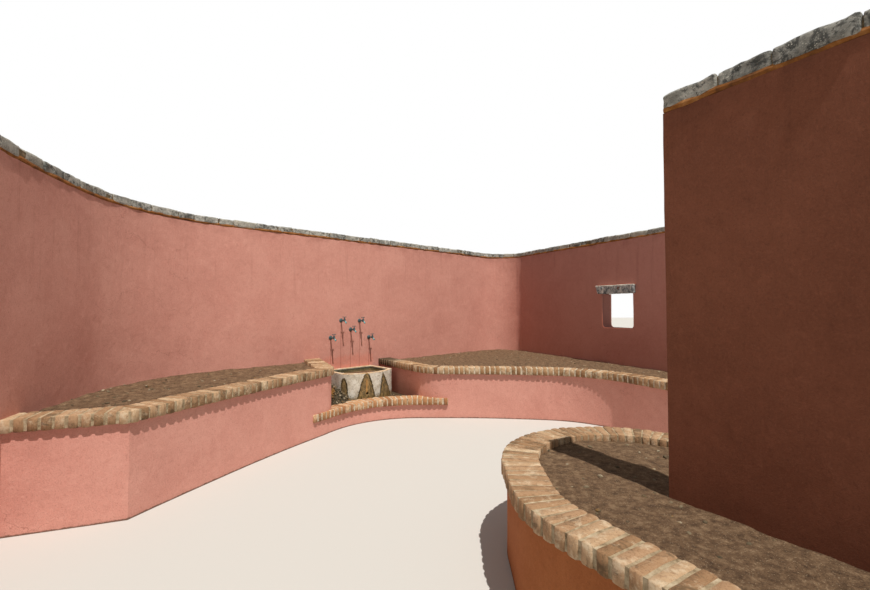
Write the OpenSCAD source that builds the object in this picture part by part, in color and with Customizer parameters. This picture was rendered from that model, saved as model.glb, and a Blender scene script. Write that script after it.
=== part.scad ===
// Curved garden wall with raised planters and a tap fountain.
// Millimetres, +Z up. The origin is on the ground, in the middle of the wall's thickness, below the fountain.
// Walls, caps and beds follow lines set out on the ground as straight runs and tangent bends.
// A station on such a line is [x, y, heading], with the heading in degrees anticlockwise from +X.
// Each line is the garden face of its wall: the wall's thickness lies to the left of the line.

/* [Rendered walls] */
// Thickness of the tall walls
wall_t = 210; // [180:5:260]
// Height of the render on the tall walls
wall_h = 2595; // [2300:5:2900]
// Heading of the fountain wall
wall_heading = 43.4; // [40:0.1:47]
// Run of straight wall before the fountain
run_before = 1825; // [1700:5:2100]
// Run of straight wall from the fountain to the far corner
run_after = 3220; // [2900:10:3600]
// Radius of the tight bend to the left of the fountain
curve_r = 1796; // [1700:2:1900]
// Angle of the tight bend
curve_turn = 56.5; // [53:0.1:60]
// Radius of the long bend at the left end
sweep_r = 6645; // [6000:5:7500]
// Angle of the long bend
sweep_turn = 18.5; // [16:0.1:20]
// Inner radius of the far corner
corner_r = 515; // [350:5:700]
// Angle that the far corner turns through
corner_turn = 107.4; // [104:0.1:110]
// Run of the right wall from the corner to its end
right_run = 4200; // [3900:10:4600]

/* [Coping] */
// Thickness of the mortar bed under the coping
bed_t = 25; // [15:1:35]
// Thickness of the coping stones
coping_t = 80; // [60:1:100]
// Overhang of the coping over each face
coping_out = 15; // [5:1:40]
// Worn edge of the coping stones
coping_edge = 9; // [4:1:20]
// Distance of the mortar bed behind the edge of the coping
bed_back = 10; // [5:1:14]

/* [Window] */
// Distance of the window from the far corner
window_from = 2055; // [1950:5:2200]
// Width of the window
window_w = 600; // [450:5:700]
// Height of the sill above the ground
sill_z = 1230; // [1000:5:1300]
// Height of the opening
window_h = 538; // [400:2:600]
// Radius of the worn lower corners
window_r = 55; // [20:1:120]
// Height of the lintel
lintel_h = 142; // [100:2:200]
// Projection of the lintel from the garden face
lintel_out = 60; // [30:1:90]
// Bearing of the lintel beside the window, at its underside
lintel_bearing = 45; // [30:1:120]
// Slant of the lintel's left end
lintel_slant = 50; // [10:1:80]

/* [Planters] */
// Thickness of the planter walls
planter_t = 200; // [160:5:230]
// Height of the brick caps
cap_h = 95; // [70:1:120]
// Overhang of the caps on the garden side
cap_out = 38; // [20:1:60]
// Rounded edge of the caps
cap_edge = 10; // [4:1:20]
// Depth of the soil below the top of a cap
soil_down = 60; // [30:5:120]
// Gap between the soil and the walls round it
soil_gap = 0.4; // [0.2:0.1:0.8]
// Width of the fountain niche at the wall
niche_w = 1150; // [1050:10:1300]
// Top of the left planter
left_top = 800; // [700:5:900]
// Top of the right planter
right_top = 710; // [600:5:800]

/* [Left planter] */
// Angle between its side wall and the fountain wall
left_side_angle = 71.6; // [64:0.2:75]
// Run of its side wall
left_side_run = 990; // [900:5:1100]
// Radius of its corner
left_corner_r = 260; // [235:5:350]
// Angle of its corner
left_corner_turn = 52.2; // [47:0.1:56]
// Radius of its long front
left_front_r = 15700; // [12000:100:20000]
// Angle of its long front
left_front_turn = 7.9; // [7:0.1:9.5]
// Straight run between the long front and its end wall
left_lead = 160; // [130:5:200]
// Heading of its end wall
left_end_heading = 21; // [10:1:32]

/* [Right planter] */
// Angle between its side wall and the fountain wall
right_side_angle = 97.4; // [94:0.2:102]
// Run of its side wall
right_side_run = 1112; // [1000:2:1200]
// Radius of its nose
nose_r = 550; // [400:10:700]
// Radius of its long front
right_front_r = 8000; // [7000:50:9500]
// Angle of its long front
right_front_turn = 10; // [8:0.1:12]
// Radius of its outer bend
outer_r = 1200; // [1000:10:1400]
// Run of its far side, along the right wall
far_run = 620; // [400:10:800]

/* [Curb and basin] */
// Top of the curb
curb_top = 285; // [240:5:340]
// Run of the curb along the right planter
curb_run = 400; // [350:5:450]
// Radius of the curb
curb_r = 1180; // [1100:10:1300]
// Angle of the curb
curb_turn = 62; // [58:0.5:65]
// Run of the curb along the left planter
curb_lead = 390; // [340:5:440]
// Top of the soil in the niche
niche_soil_top = 215; // [150:5:235]
// Width of the basin
basin_w = 870; // [800:5:960]
// Distance of the basin to the left of the fountain's middle
basin_left = 45; // [0:5:80]
// Radius of the bowed front of the basin
bow_r = 670; // [600:5:760]
// Distance of the centre of the bow from the wall
bow_out = 45; // [0:5:80]
// Top of the basin
basin_top = 615; // [540:5:660]
// Wall of the basin
basin_t = 60; // [40:2:90]
// Depth of the basin inside
basin_deep = 330; // [250:5:380]
// Diameter of the drain hole
drain_d = 34; // [20:1:50]
// Depth of the drain hole to its plug
drain_deep = 40; // [10:1:50]
// Height of the drain hole
drain_z = 320; // [300:5:400]
// Turn of the drain hole from the middle of the bow towards the left planter
drain_turn = 10; // [0:1:20]

/* [Taps] */
// Distance of each tap along the wall from the fountain's middle
tap_along = [-355, -175, 0, 165, 345];
// Height of each tap
tap_height = [1090, 1350, 1205, 1340, 1070];
// Diameter of the wall rosette
rosette_d = 62; // [50:1:74]
// Thickness of the rosette
rosette_t = 12; // [8:1:18]
// Diameter of the tap's pipe
pipe_d = 22; // [16:1:28]
// Distance of the valve from the wall
valve_out = 104; // [90:1:120]
// Diameter of the valve barrel
valve_d = 32; // [28:1:40]
// Height of the valve barrel
valve_h = 42; // [36:1:52]
// Length of the spout from the middle of the valve
spout_run = 62; // [50:1:76]
// Slant of the spout below level
spout_slant = 36; // [25:1:50]
// Bore of the spout
spout_bore = 12; // [8:1:14]
// Length of the handle's bar
handle_w = 66; // [50:1:80]
// Thickness of the handle's bar
handle_d = 9; // [7:1:12]
// Rise of the handle's stem above the barrel
stem_rise = 20; // [14:1:30]
// Diameter of the handle's stem
stem_d = 9; // [6:1:12]
// Running clearance round the stem
stem_gap = 0.08; // [0.03:0.01:0.1]

/* [Inner wall and planter] */
// Position of the inner wall's free end along +X
inner_x = 2637; // [2500:1:2800]
// Position of the inner wall's free end along +Y
inner_y = -4635; // [-4800:1:-4500]
// Heading of the inner wall
inner_heading = -58.6; // [-62:0.1:-55]
// Length of the inner wall
inner_run = 1700; // [1500:10:1900]
// Top of the inner planter
inner_top = 600; // [500:5:700]
// Distance of the round end's start from the free end of the inner wall
inner_round_from = 500; // [400:10:600]
// Radius of the round end
inner_round_r = 803; // [740:1:860]
// Angle of the round end
inner_round_turn = 236.6; // [234:0.1:239]
// Straight run after the round end
inner_straight = 335; // [250:5:400]
// Run beside the inner wall
inner_side_run = 1600; // [1400:10:1650]

/* [Hidden] */

// Facets of small rounds, and of a large one, which keep it within 0.03 mm of its true curve
small = 64;
function facets(r) = 8 * ceil(1.6 * sqrt(r));

// Joint between two lengths of a wall, coping or cap, and between a wall's foot and the wall it meets
hairline = 0.2;
// Reach of cutting shapes past what they cut, and of walls past a corner before its mitre
past = 300;

bed_top = wall_h + bed_t;
coping_top = bed_top + coping_t;
// Run of the fountain wall's own piece past the fountain
back_from = 775;
// Wall kept beside the window in the window's own piece
pier_w = 150;
// Thickness that the curb's wall keeps where it runs out against the right planter, and the run left off it
curb_tip = 12;
curb_tip_run = sqrt(nose_r * nose_r - (nose_r - curb_tip) * (nose_r - curb_tip));
// Distances of the soil from the lines of the planters and of the tall walls
planter_soil = planter_t + soil_gap;
wall_soil = -soil_gap;

// Tap: the valve's barrel and bonnet, the stem, its collar, the spout's tube, lip and bore, the handle's balls
valve_low = -valve_h * 0.42;
valve_high = valve_low + valve_h;
bonnet_h = 9;
bonnet_d = valve_d * 0.66;
stem_seat = 0.3;
stem_deep = 14;
collar_d = stem_d + 5;
collar_h = stem_rise * 0.3;
tube_d = spout_bore + 7;
lip_d = spout_bore + 13;
lip_run = 7;
waterway_from = spout_run * 0.45;
ball_d = handle_d * 1.45;
// Rosette: its widest and narrowest rounds and the thickness at each
rosette_rim = rosette_t * 0.35;
rosette_step_d = rosette_d * 0.8;
rosette_step = rosette_t * 0.8;
rosette_boss_d = rosette_d * 0.5;

// Stations

// The station a distance further along a straight line
function ahead(s, run) = [s[0] + run * cos(s[2]), s[1] + run * sin(s[2]), s[2]];
// The station a distance to the left of the line
function beside(s, left) = [s[0] - left * sin(s[2]), s[1] + left * cos(s[2]), s[2]];
function turned(s, angle) = [s[0], s[1], s[2] + angle];
// The centre of a bend: to the right for a positive angle, to the left for a negative one
function centre(s, r, angle) = beside(s, -sign(angle) * r);
// The station at the end of a bend, and the one at the start of a bend that ends at s
function bent(s, r, angle) = beside(turned(centre(s, r, angle), -angle), sign(angle) * r);
function bent_back(s, r, angle) = beside(turned(centre(s, r, angle), angle), sign(angle) * r);
function xy(s) = [s[0], s[1]];
// How far a point lies to the left of a line
function left_of(p, line) = (line[0] - p[0]) * sin(line[2]) + (p[1] - line[1]) * cos(line[2]);
// The run from a station to a straight line, and to a circle that it stands inside
function run_to_line(s, line) = -left_of(s, line) / sin(s[2] - line[2]);
function run_to_circle(s, c, r) =
    let (along = (c[0] - s[0]) * cos(s[2]) + (c[1] - s[1]) * sin(s[2]), off = left_of(c, s))
    along + sqrt(r * r - off * off);
// Where two circles cross, on the left as seen from the first centre
function circles_cross(a, ra, b, rb) =
    let (d = norm(b - a), u = (b - a) / d, x = (d * d + ra * ra - rb * rb) / (2 * d))
    a + x * u + sqrt(ra * ra - x * x) * [-u[1], u[0]];
// Points of a bend from one share of its angle to another, a distance to its left
function bend_points(s, r, angle, left, parts, from = 0, to = 1) =
    [for (i = [0:parts]) xy(beside(bent(s, r, angle * (from + (to - from) * i / parts)), left))];
// How much further out the corners of a polygon lie than the circle drawn inside it
function round_out(r, angle, parts) = r * (1 / cos(angle / parts / 2) - 1);
// The share of a bend's angle at which it passes beside a point
function share_at(p, s, r, angle) =
    let (c = centre(s, r, angle), heading = atan2(p[1] - c[1], p[0] - c[0]) - sign(angle) * 90)
    (((s[2] - heading) * sign(angle) + 720) % 360) / abs(angle);
// The point where two straight lines cross, each moved to its left
function lines_cross(a, a_left, b, b_left) =
    let (from = beside(a, a_left)) xy(ahead(from, run_to_line(from, beside(b, b_left))));

// Main wall, from the left end to the right end
fountain = beside([0, 0, wall_heading], -wall_t / 2);
straight_start = ahead(fountain, -run_before);
curve_start = bent_back(straight_start, curve_r, curve_turn);
left_end = bent_back(curve_start, sweep_r, sweep_turn);
back_start = ahead(fountain, back_from);
corner_start = ahead(fountain, run_after);
right_start = bent(corner_start, corner_r, corner_turn);
window_start = ahead(right_start, window_from - pier_w);
window_finish = ahead(right_start, window_from + window_w + pier_w);
// Left planter, from its end wall to the fountain wall
left_side_foot = turned(ahead(fountain, -niche_w / 2), left_side_angle);
left_side_start = ahead(left_side_foot, -left_side_run);
left_front_finish = bent_back(left_side_start, left_corner_r, -left_corner_turn);
left_front_start = bent_back(left_front_finish, left_front_r, left_front_turn);
left_lead_start = ahead(left_front_start, -left_lead);
left_end_corner = [left_lead_start[0], left_lead_start[1], left_end_heading];
left_end_run = run_to_circle(turned(left_end_corner, 180), centre(left_end, sweep_r, sweep_turn), sweep_r);
left_end_foot = ahead(left_end_corner, -left_end_run);

// Right planter, from the fountain wall to the right wall
right_side_foot = turned(ahead(fountain, niche_w / 2), -right_side_angle);
nose_start = ahead(right_side_foot, right_side_run);
nose_turn = -nose_start[2];
nose_finish = bent(nose_start, nose_r, -nose_turn);
right_front_finish = bent(nose_finish, right_front_r, right_front_turn);
outer_turn = right_front_finish[2] - right_start[2];
outer_finish = bent(right_front_finish, outer_r, outer_turn);
far_finish = ahead(outer_finish, far_run);
right_end_corner = turned(far_finish, 90);
right_end_run = run_to_line(right_end_corner, right_start);

// Curb, from the left planter to the nose of the right planter
curb_bend_finish = ahead(nose_finish, -curb_run);
curb_bend_start = bent_back(curb_bend_finish, curb_r, curb_turn);
curb_start = ahead(curb_bend_start, -curb_lead);

// Basin, in line with the fountain wall and a joint off it
basin_middle = beside(ahead(fountain, -basin_left), -hairline);

// Inner wall and the planter round it
inner_start = [inner_x, inner_y, inner_heading];
inner_round_start = turned(beside(ahead(inner_start, inner_round_from), wall_t), 90);
inner_round_finish = bent(inner_round_start, inner_round_r, -inner_round_turn);
inner_bend_start = ahead(inner_round_finish, inner_straight);
inner_bend_turn = inner_start[2] + 360 - inner_bend_start[2];
inner_side_start = bent(inner_bend_start, inner_round_r, -inner_bend_turn);
inner_side_finish = ahead(inner_side_start, inner_side_run);
inner_end_corner = turned(inner_side_finish, 90);
inner_end_run = run_to_line(inner_end_corner, inner_start);

// Sweeping a section along the lines
// A section is drawn with x as the distance to the left of the line and y as the height.

module straight_run(s, run)
    translate([s[0], s[1], 0]) rotate(s[2]) translate([hairline / 2, 0, 0]) rotate([90, 0, 90])
        linear_extrude(run - hairline) children();

module bend_run(s, r, angle) {
    c = centre(s, r, angle);
    joint = hairline / 2 / r * 180 / PI;
    if (angle > 0)
        translate([c[0], c[1], 0]) rotate(s[2] + 90 - angle + joint)
            rotate_extrude(angle = angle - 2 * joint, $fn = facets(r)) translate([r, 0]) children();
    else
        translate([c[0], c[1], 0]) rotate(s[2] - 90 + joint)
            rotate_extrude(angle = -angle - 2 * joint, $fn = facets(r))
                translate([r, 0]) mirror([1, 0]) children();
}

// Everything ahead of the mitre at a corner, where one line ends and the next one starts
module ahead_of_mitre(from, to)
    translate([from[0], from[1], -1]) rotate((from[2] + to[2]) / 2)
        translate([-hairline / 2, -10 * past, 0]) cube([20 * past, 20 * past, coping_top]);

// Everything behind that mitre
module behind_mitre(from, to)
    translate([from[0], from[1], -1]) rotate((from[2] + to[2]) / 2 + 180)
        translate([-hairline / 2, -10 * past, 0]) cube([20 * past, 20 * past, coping_top]);

// Sections

// A plain wall, grown on both faces where it cuts back what meets it
module wall_section(grow = 0)
    translate([-grow, 0]) square([wall_t + 2 * grow, wall_h]);

module bed_section()
    translate([bed_back - coping_out, wall_h]) square([wall_t + 2 * (coping_out - bed_back), bed_t]);

// A slab with its two upper edges worn off
module worn_slab(left, right, low, high, edge)
    polygon([[left, low], [right, low], [right, high - edge], [right - edge, high],
             [left + edge, high], [left, high - edge]]);

module coping_section()
    worn_slab(-coping_out, wall_t + coping_out, bed_top, coping_top, coping_edge);

module planter_section(top)
    square([planter_t, top - cap_h]);

module cap_section(top)
    worn_slab(-cap_out, planter_t, top - cap_h, top, cap_edge);

// Lines of the walls

module left_line() {
    bend_run(left_end, sweep_r, sweep_turn) children();
    bend_run(curve_start, curve_r, curve_turn) children();
}

module back_line() {
    straight_run(straight_start, run_before + run_after) children();
    bend_run(corner_start, corner_r, corner_turn) children();
}

module right_line()
    straight_run(right_start, right_run) children();

module left_planter_end_line()
    difference() {
        straight_run(ahead(left_end_foot, -wall_t / 2), left_end_run + wall_t / 2 + past) children();
        ahead_of_mitre(left_end_corner, left_lead_start);
        bend_run(left_end, sweep_r, sweep_turn) wall_section(hairline);
    }

module left_planter_front_line() {
    difference() {
        straight_run(ahead(left_lead_start, -past), left_lead + past) children();
        behind_mitre(left_end_corner, left_lead_start);
    }
    bend_run(left_front_start, left_front_r, left_front_turn) children();
}

module left_planter_side_line() {
    bend_run(left_front_finish, left_corner_r, -left_corner_turn) children();
    difference() {
        straight_run(left_side_start, left_side_run + wall_t / 2) children();
        straight_run(straight_start, run_before + run_after) wall_section(hairline);
    }
}

module right_planter_side_line() {
    difference() {
        straight_run(ahead(right_side_foot, -wall_t / 2), right_side_run + wall_t / 2) children();
        straight_run(straight_start, run_before + run_after) wall_section(hairline);
    }
    nose_line() children();
}

module nose_line()
    bend_run(nose_start, nose_r, -nose_turn) children();

module right_planter_front_line()
    bend_run(nose_finish, right_front_r, right_front_turn) children();

module right_planter_far_line() {
    bend_run(right_front_finish, outer_r, outer_turn) children();
    difference() {
        straight_run(outer_finish, far_run + past) children();
        ahead_of_mitre(far_finish, right_end_corner);
    }
}

module right_planter_end_line()
    difference() {
        straight_run(ahead(right_end_corner, -past), right_end_run + past) children();
        behind_mitre(far_finish, right_end_corner);
    }

module curb_line() {
    straight_run(curb_start, curb_lead) children();
    bend_run(curb_bend_start, curb_r, curb_turn) children();
    straight_run(curb_bend_finish, curb_run) children();
}

module inner_line()
    straight_run(inner_start, inner_run) children();

module inner_planter_line() {
    bend_run(inner_round_start, inner_round_r, -inner_round_turn) children();
    straight_run(inner_round_finish, inner_straight) children();
    bend_run(inner_bend_start, inner_round_r, -inner_bend_turn) children();
    difference() {
        straight_run(inner_side_start, inner_side_run + past) children();
        ahead_of_mitre(inner_side_finish, inner_end_corner);
    }
    difference() {
        straight_run(ahead(inner_end_corner, -past), inner_end_run + past) children();
        behind_mitre(inner_side_finish, inner_end_corner);
    }
}

// Rendered walls

render_pink = [0.82, 0.57, 0.51];
render_brown = [0.55, 0.33, 0.27];

module left_end_wall()
    color(render_pink) bend_run(left_end, sweep_r, sweep_turn) wall_section();

module left_curve_wall()
    color(render_pink) bend_run(curve_start, curve_r, curve_turn) wall_section();

module fountain_wall()
    color(render_pink) straight_run(straight_start, run_before + back_from) wall_section();

module back_wall()
    color(render_pink) straight_run(back_start, run_after - back_from) wall_section();

module corner_wall()
    color(render_pink) bend_run(corner_start, corner_r, corner_turn) wall_section();

module right_wall()
    color(render_pink) straight_run(right_start, window_from - pier_w) wall_section();

module window_wall()
    color(render_pink)
        difference() {
            straight_run(window_start, window_w + 2 * pier_w) wall_section();
            through_wall(past) window_outline();
            through_wall(past) lintel_outline();
        }

module right_end_wall()
    color(render_pink)
        straight_run(window_finish, right_run - window_from - window_w - pier_w) wall_section();

// Window and lintel
// Outlines are drawn with x as the distance along the right wall and y as the height.

module window_outline()
    translate([window_from, sill_z])
        difference() {
            square([window_w, window_h]);
            worn_corner();
            translate([window_w, 0]) mirror([1, 0]) worn_corner();
        }

// The waste outside a rounded corner
module worn_corner()
    difference() {
        translate([-1, -1]) square(window_r + 1);
        translate([window_r, window_r]) circle(window_r, $fn = small);
    }

module lintel_outline()
    translate([window_from, sill_z + window_h])
        polygon([[-lintel_bearing, 0], [window_w + lintel_bearing, 0],
                 [window_w + lintel_bearing, lintel_h], [-lintel_bearing - lintel_slant, lintel_h]]);

// Carries an outline through the right wall, from a distance before the garden face to one behind the wall
module through_wall(front, back = past)
    translate([right_start[0], right_start[1], 0]) rotate(right_start[2])
        translate([0, wall_t + back, 0]) rotate([90, 0, 0])
            linear_extrude(front + wall_t + back) children();

module window_lintel()
    color([0.62, 0.58, 0.52]) through_wall(lintel_out, 0) lintel_outline();

// Mortar bed and coping

mortar_ochre = [0.67, 0.43, 0.16];
limestone = [0.80, 0.78, 0.74];

module left_mortar_bed()
    color(mortar_ochre) left_line() bed_section();

module back_mortar_bed()
    color(mortar_ochre) back_line() bed_section();

module right_mortar_bed()
    color(mortar_ochre) right_line() bed_section();

module left_coping()
    color(limestone) left_line() coping_section();

module back_coping()
    color(limestone) back_line() coping_section();

module right_coping()
    color(limestone) right_line() coping_section();

// Left planter

brick = [0.75, 0.59, 0.43];
soil = [0.30, 0.22, 0.16];

module left_planter_end_wall()
    color(render_pink) left_planter_end_line() planter_section(left_top);

module left_planter_front_wall()
    color(render_pink) left_planter_front_line() planter_section(left_top);

module left_planter_side_wall()
    color(render_pink) left_planter_side_line() planter_section(left_top);

module left_planter_cap()
    color(brick) {
        left_planter_end_line() cap_section(left_top);
        left_planter_front_line() cap_section(left_top);
        left_planter_side_line() cap_section(left_top);
    }

// Where the soil meets the end wall's inner face and the long bend of the tall wall
left_soil_edge = turned(beside(left_end_corner, planter_soil), 180);
left_soil_foot = ahead(left_soil_edge,
    run_to_circle(left_soil_edge, centre(left_end, sweep_r, sweep_turn), sweep_r + wall_soil));

module left_planter_soil()
    color(soil)
        linear_extrude(left_top - soil_down)
            polygon(concat(
                [lines_cross(left_end_corner, planter_soil, left_lead_start, planter_soil)],
                bend_points(left_front_start, left_front_r, left_front_turn,
                    planter_soil + round_out(left_front_r + planter_soil, left_front_turn, 6), 6),
                bend_points(left_front_finish, left_corner_r, -left_corner_turn, planter_soil, 4, 1 / 5),
                [lines_cross(left_side_foot, planter_soil, fountain, wall_soil)],
                bend_points(curve_start, curve_r, curve_turn, wall_soil, 14, 1, 0),
                bend_points(left_end, sweep_r, sweep_turn, wall_soil, 8, 1 - 1 / 16,
                    share_at(left_soil_foot, left_end, sweep_r, sweep_turn))
            ));

// Right planter

module right_planter_side_wall()
    color(render_pink) right_planter_side_line() planter_section(right_top);

module right_planter_front_wall()
    color(render_pink) right_planter_front_line() planter_section(right_top);

module right_planter_far_wall()
    color(render_pink) right_planter_far_line() planter_section(right_top);

module right_planter_end_wall()
    color(render_pink) right_planter_end_line() planter_section(right_top);

module right_planter_cap()
    color(brick) {
        right_planter_side_line() cap_section(right_top);
        right_planter_front_line() cap_section(right_top);
        right_planter_far_line() cap_section(right_top);
        right_planter_end_line() cap_section(right_top);
    }

module right_planter_soil()
    color(soil)
        linear_extrude(right_top - soil_down)
            polygon(concat(
                [lines_cross(right_side_foot, planter_soil, fountain, wall_soil)],
                bend_points(nose_start, nose_r, -nose_turn, planter_soil, 7, 0, 7 / 8),
                bend_points(nose_finish, right_front_r, right_front_turn,
                    planter_soil + round_out(right_front_r + planter_soil, right_front_turn, 6), 6),
                bend_points(right_front_finish, outer_r, outer_turn,
                    planter_soil + round_out(outer_r + planter_soil, outer_turn, 14), 13, 1 / 14),
                [lines_cross(far_finish, planter_soil, right_end_corner, planter_soil)],
                [lines_cross(right_end_corner, planter_soil, right_start, wall_soil)],
                bend_points(corner_start, corner_r, corner_turn, wall_soil, 14, 1, 0)
            ));

// Curb, niche and basin

stone_grey = [0.80, 0.76, 0.69];

module curb_wall()
    color(render_pink)
        difference() {
            curb_line() planter_section(curb_top);
            curb_sides();
            translate([nose_finish[0], nose_finish[1], 0]) rotate(nose_finish[2])
                translate([-curb_tip_run, -past, -1]) cube([past, 2 * past, curb_top]);
        }

module curb_cap()
    color(brick)
        difference() {
            curb_line() cap_section(curb_top);
            curb_sides();
        }

// What the curb is cut back from: the left planter and the nose of the right planter
module curb_sides() {
    left_planter_mass();
    nose_line() wall_section(hairline);
}

// The part of the left planter that the curb meets, as one mass of walls and soil
module left_planter_mass()
    translate([0, 0, -1])
        linear_extrude(left_top)
            polygon(concat(
                bend_points(left_front_start, left_front_r, left_front_turn, -hairline, 12, 1 / 2),
                bend_points(left_front_finish, left_corner_r, -left_corner_turn, -hairline, 12, 1 / 13),
                [xy(beside(left_side_foot, -hairline))],
                [xy(beside(left_side_foot, niche_w))],
                [xy(beside(left_front_start, niche_w))]
            ));

// The niche's soil lies along the left planter, the curb, the nose and the right planter, and the wall.
// Its corners lie on circles that keep the straight edges between them clear of the curb and the nose.
curb_reach = curb_r + planter_soil + round_out(curb_r + planter_soil, curb_turn, 7);
nose_reach = nose_r + soil_gap + round_out(nose_r + soil_gap, nose_turn, 5);
niche_side = beside(left_side_start, -soil_gap);
niche_corner = xy(ahead(niche_side,
    run_to_circle(niche_side, centre(curb_bend_start, curb_r, curb_turn), curb_reach)));
niche_cross = circles_cross(
    xy(centre(curb_bend_start, curb_r, curb_turn)), curb_reach,
    xy(centre(nose_start, nose_r, -nose_turn)), nose_reach);

module niche_soil()
    color(soil)
        difference() {
            linear_extrude(niche_soil_top)
                polygon(concat(
                    [lines_cross(left_side_foot, -soil_gap, fountain, wall_soil)],
                    bend_points(curb_bend_start, curb_r, curb_turn, curb_reach - curb_r, 7,
                        share_at(niche_corner, curb_bend_start, curb_r, curb_turn),
                        share_at(niche_cross, curb_bend_start, curb_r, curb_turn)),
                    bend_points(nose_start, nose_r, -nose_turn, nose_r - nose_reach, 5,
                        share_at(niche_cross, nose_start, nose_r, -nose_turn), 0),
                    [lines_cross(right_side_foot, -soil_gap, fountain, wall_soil)]
                ));
            translate([0, 0, -1]) basin_frame() linear_extrude(basin_top) basin_outline(-soil_gap);
        }

// Places a shape on the wall behind the basin, with x along the wall and y away from it
module basin_frame()
    translate([basin_middle[0], basin_middle[1], 0]) rotate(basin_middle[2]) mirror([0, 1, 0]) children();

// The basin in plan: a bowed front between two straight sides, set in by a wall's thickness
module basin_outline(inset)
    intersection() {
        translate([0, bow_out]) circle(bow_r - inset, $fn = facets(bow_r));
        translate([-basin_w / 2 + inset, max(inset, 0)]) square([basin_w - 2 * inset, bow_r + bow_out]);
    }

module basin()
    color(stone_grey)
        difference() {
            basin_frame() linear_extrude(basin_top) basin_outline(0);
            basin_frame() translate([0, 0, basin_top - basin_deep])
                linear_extrude(basin_deep + 1) basin_outline(basin_t);
            basin_frame() translate([0, bow_out, drain_z]) rotate([-90, 0, drain_turn])
                translate([0, 0, bow_r - drain_deep]) cylinder(h = past, d = drain_d, $fn = small);
        }

// Taps
// A tap is drawn with its rosette on the wall, +X away from the wall and +Z up, from the middle of its pipe.

bronze = [0.36, 0.55, 0.52];

// Places a shape on the wall as the tap with this number
module tap_frame(i)
    translate([0, 0, tap_height[i]]) tap_station(beside(ahead(fountain, tap_along[i]), -hairline)) children();

module tap_station(s)
    translate([s[0], s[1], 0]) rotate(s[2] - 90) children();

module rosette()
    rotate([0, 90, 0])
        rotate_extrude($fn = small)
            polygon([[0, 0], [rosette_d / 2, 0], [rosette_d / 2, rosette_rim],
                     [rosette_step_d / 2, rosette_step], [rosette_boss_d / 2, rosette_t], [0, rosette_t]]);

// The spout's tube leaves the valve and slants down to a lip
module spout(d, run)
    translate([valve_out, 0, 0]) rotate([0, 90 + spout_slant, 0]) cylinder(h = run, d = d, $fn = small);

module tap_body() {
    difference() {
        union() {
            rosette();
            rotate([0, 90, 0]) cylinder(h = valve_out, d = pipe_d, $fn = small);
            translate([valve_out, 0, valve_low]) cylinder(h = valve_h, d = valve_d, $fn = small);
            translate([valve_out, 0, valve_high]) cylinder(h = bonnet_h, d = bonnet_d, $fn = small);
            spout(tube_d, spout_run);
            translate([lip_run * -cos(spout_slant), 0, lip_run * sin(spout_slant)])
                intersection() {
                    spout(lip_d, spout_run + lip_run);
                    translate([spout_run * cos(spout_slant), 0, -spout_run * sin(spout_slant)])
                        spout(lip_d, lip_run);
                }
        }
        spout_waterway();
        translate([valve_out, 0, valve_high + bonnet_h - stem_deep])
            cylinder(h = stem_deep + 1, d = stem_d + 2 * stem_gap, $fn = small);
    }
}

// The open mouth of the spout
module spout_waterway()
    translate([waterway_from * cos(spout_slant), 0, -waterway_from * sin(spout_slant)])
        spout(spout_bore, spout_run);

module tap_bodies()
    color(bronze)
        for (i = [0:len(tap_along) - 1]) tap_frame(i) tap_body();

// A stem in the bonnet, with a bar across its top that ends in two balls
module handle()
    translate([valve_out, 0, valve_high + bonnet_h]) {
        translate([0, 0, stem_seat - stem_deep])
            cylinder(h = stem_deep + stem_rise, d = stem_d, $fn = small);
        translate([0, 0, stem_seat])
            cylinder(h = collar_h, d = collar_d, $fn = small);
        translate([0, 0, stem_seat + stem_rise]) {
            rotate([90, 0, 0]) cylinder(h = handle_w - ball_d, d = handle_d, center = true, $fn = small);
            for (side = [-1, 1])
                translate([0, side * (handle_w - ball_d) / 2, 0]) sphere(d = ball_d, $fn = small);
        }
    }

module tap_handle(i)
    color(bronze) tap_frame(i) handle();

// Inner wall and the planter round it

module inner_wall()
    color(render_brown) inner_line() wall_section();

module inner_mortar_bed()
    color(mortar_ochre) inner_line() bed_section();

module inner_coping()
    color(limestone) inner_line() coping_section();

module inner_planter_wall()
    color(render_brown) inner_planter_line() planter_section(inner_top);

module inner_planter_cap()
    color(brick) inner_planter_line() cap_section(inner_top);

module inner_planter_soil()
    color(soil)
        linear_extrude(inner_top - soil_down)
            polygon(concat(
                [lines_cross(inner_round_start, planter_soil, inner_start, wall_t + soil_gap)],
                bend_points(inner_round_start, inner_round_r, -inner_round_turn, planter_soil, 24, 1 / 25),
                bend_points(inner_bend_start, inner_round_r, -inner_bend_turn, planter_soil, 4),
                [lines_cross(inner_side_finish, planter_soil, inner_end_corner, planter_soil)],
                [lines_cross(inner_end_corner, planter_soil, inner_start, wall_soil)],
                [xy(beside(ahead(inner_start, -soil_gap), wall_soil))],
                [xy(beside(ahead(inner_start, -soil_gap), wall_t + soil_gap))]
            ));

left_end_wall();
left_curve_wall();
fountain_wall();
back_wall();
corner_wall();
right_wall();
window_wall();
right_end_wall();
window_lintel();
left_mortar_bed();
back_mortar_bed();
right_mortar_bed();
left_coping();
back_coping();
right_coping();
left_planter_end_wall();
left_planter_front_wall();
left_planter_side_wall();
left_planter_cap();
left_planter_soil();
right_planter_side_wall();
right_planter_front_wall();
right_planter_far_wall();
right_planter_end_wall();
right_planter_cap();
right_planter_soil();
curb_wall();
curb_cap();
niche_soil();
basin();
tap_bodies();
tap_handle(0);  // tap_handle_1
tap_handle(1);  // tap_handle_2
tap_handle(2);  // tap_handle_3
tap_handle(3);  // tap_handle_4
tap_handle(4);  // tap_handle_5
inner_wall();
inner_mortar_bed();
inner_coping();
inner_planter_wall();
inner_planter_cap();
inner_planter_soil();
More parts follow.
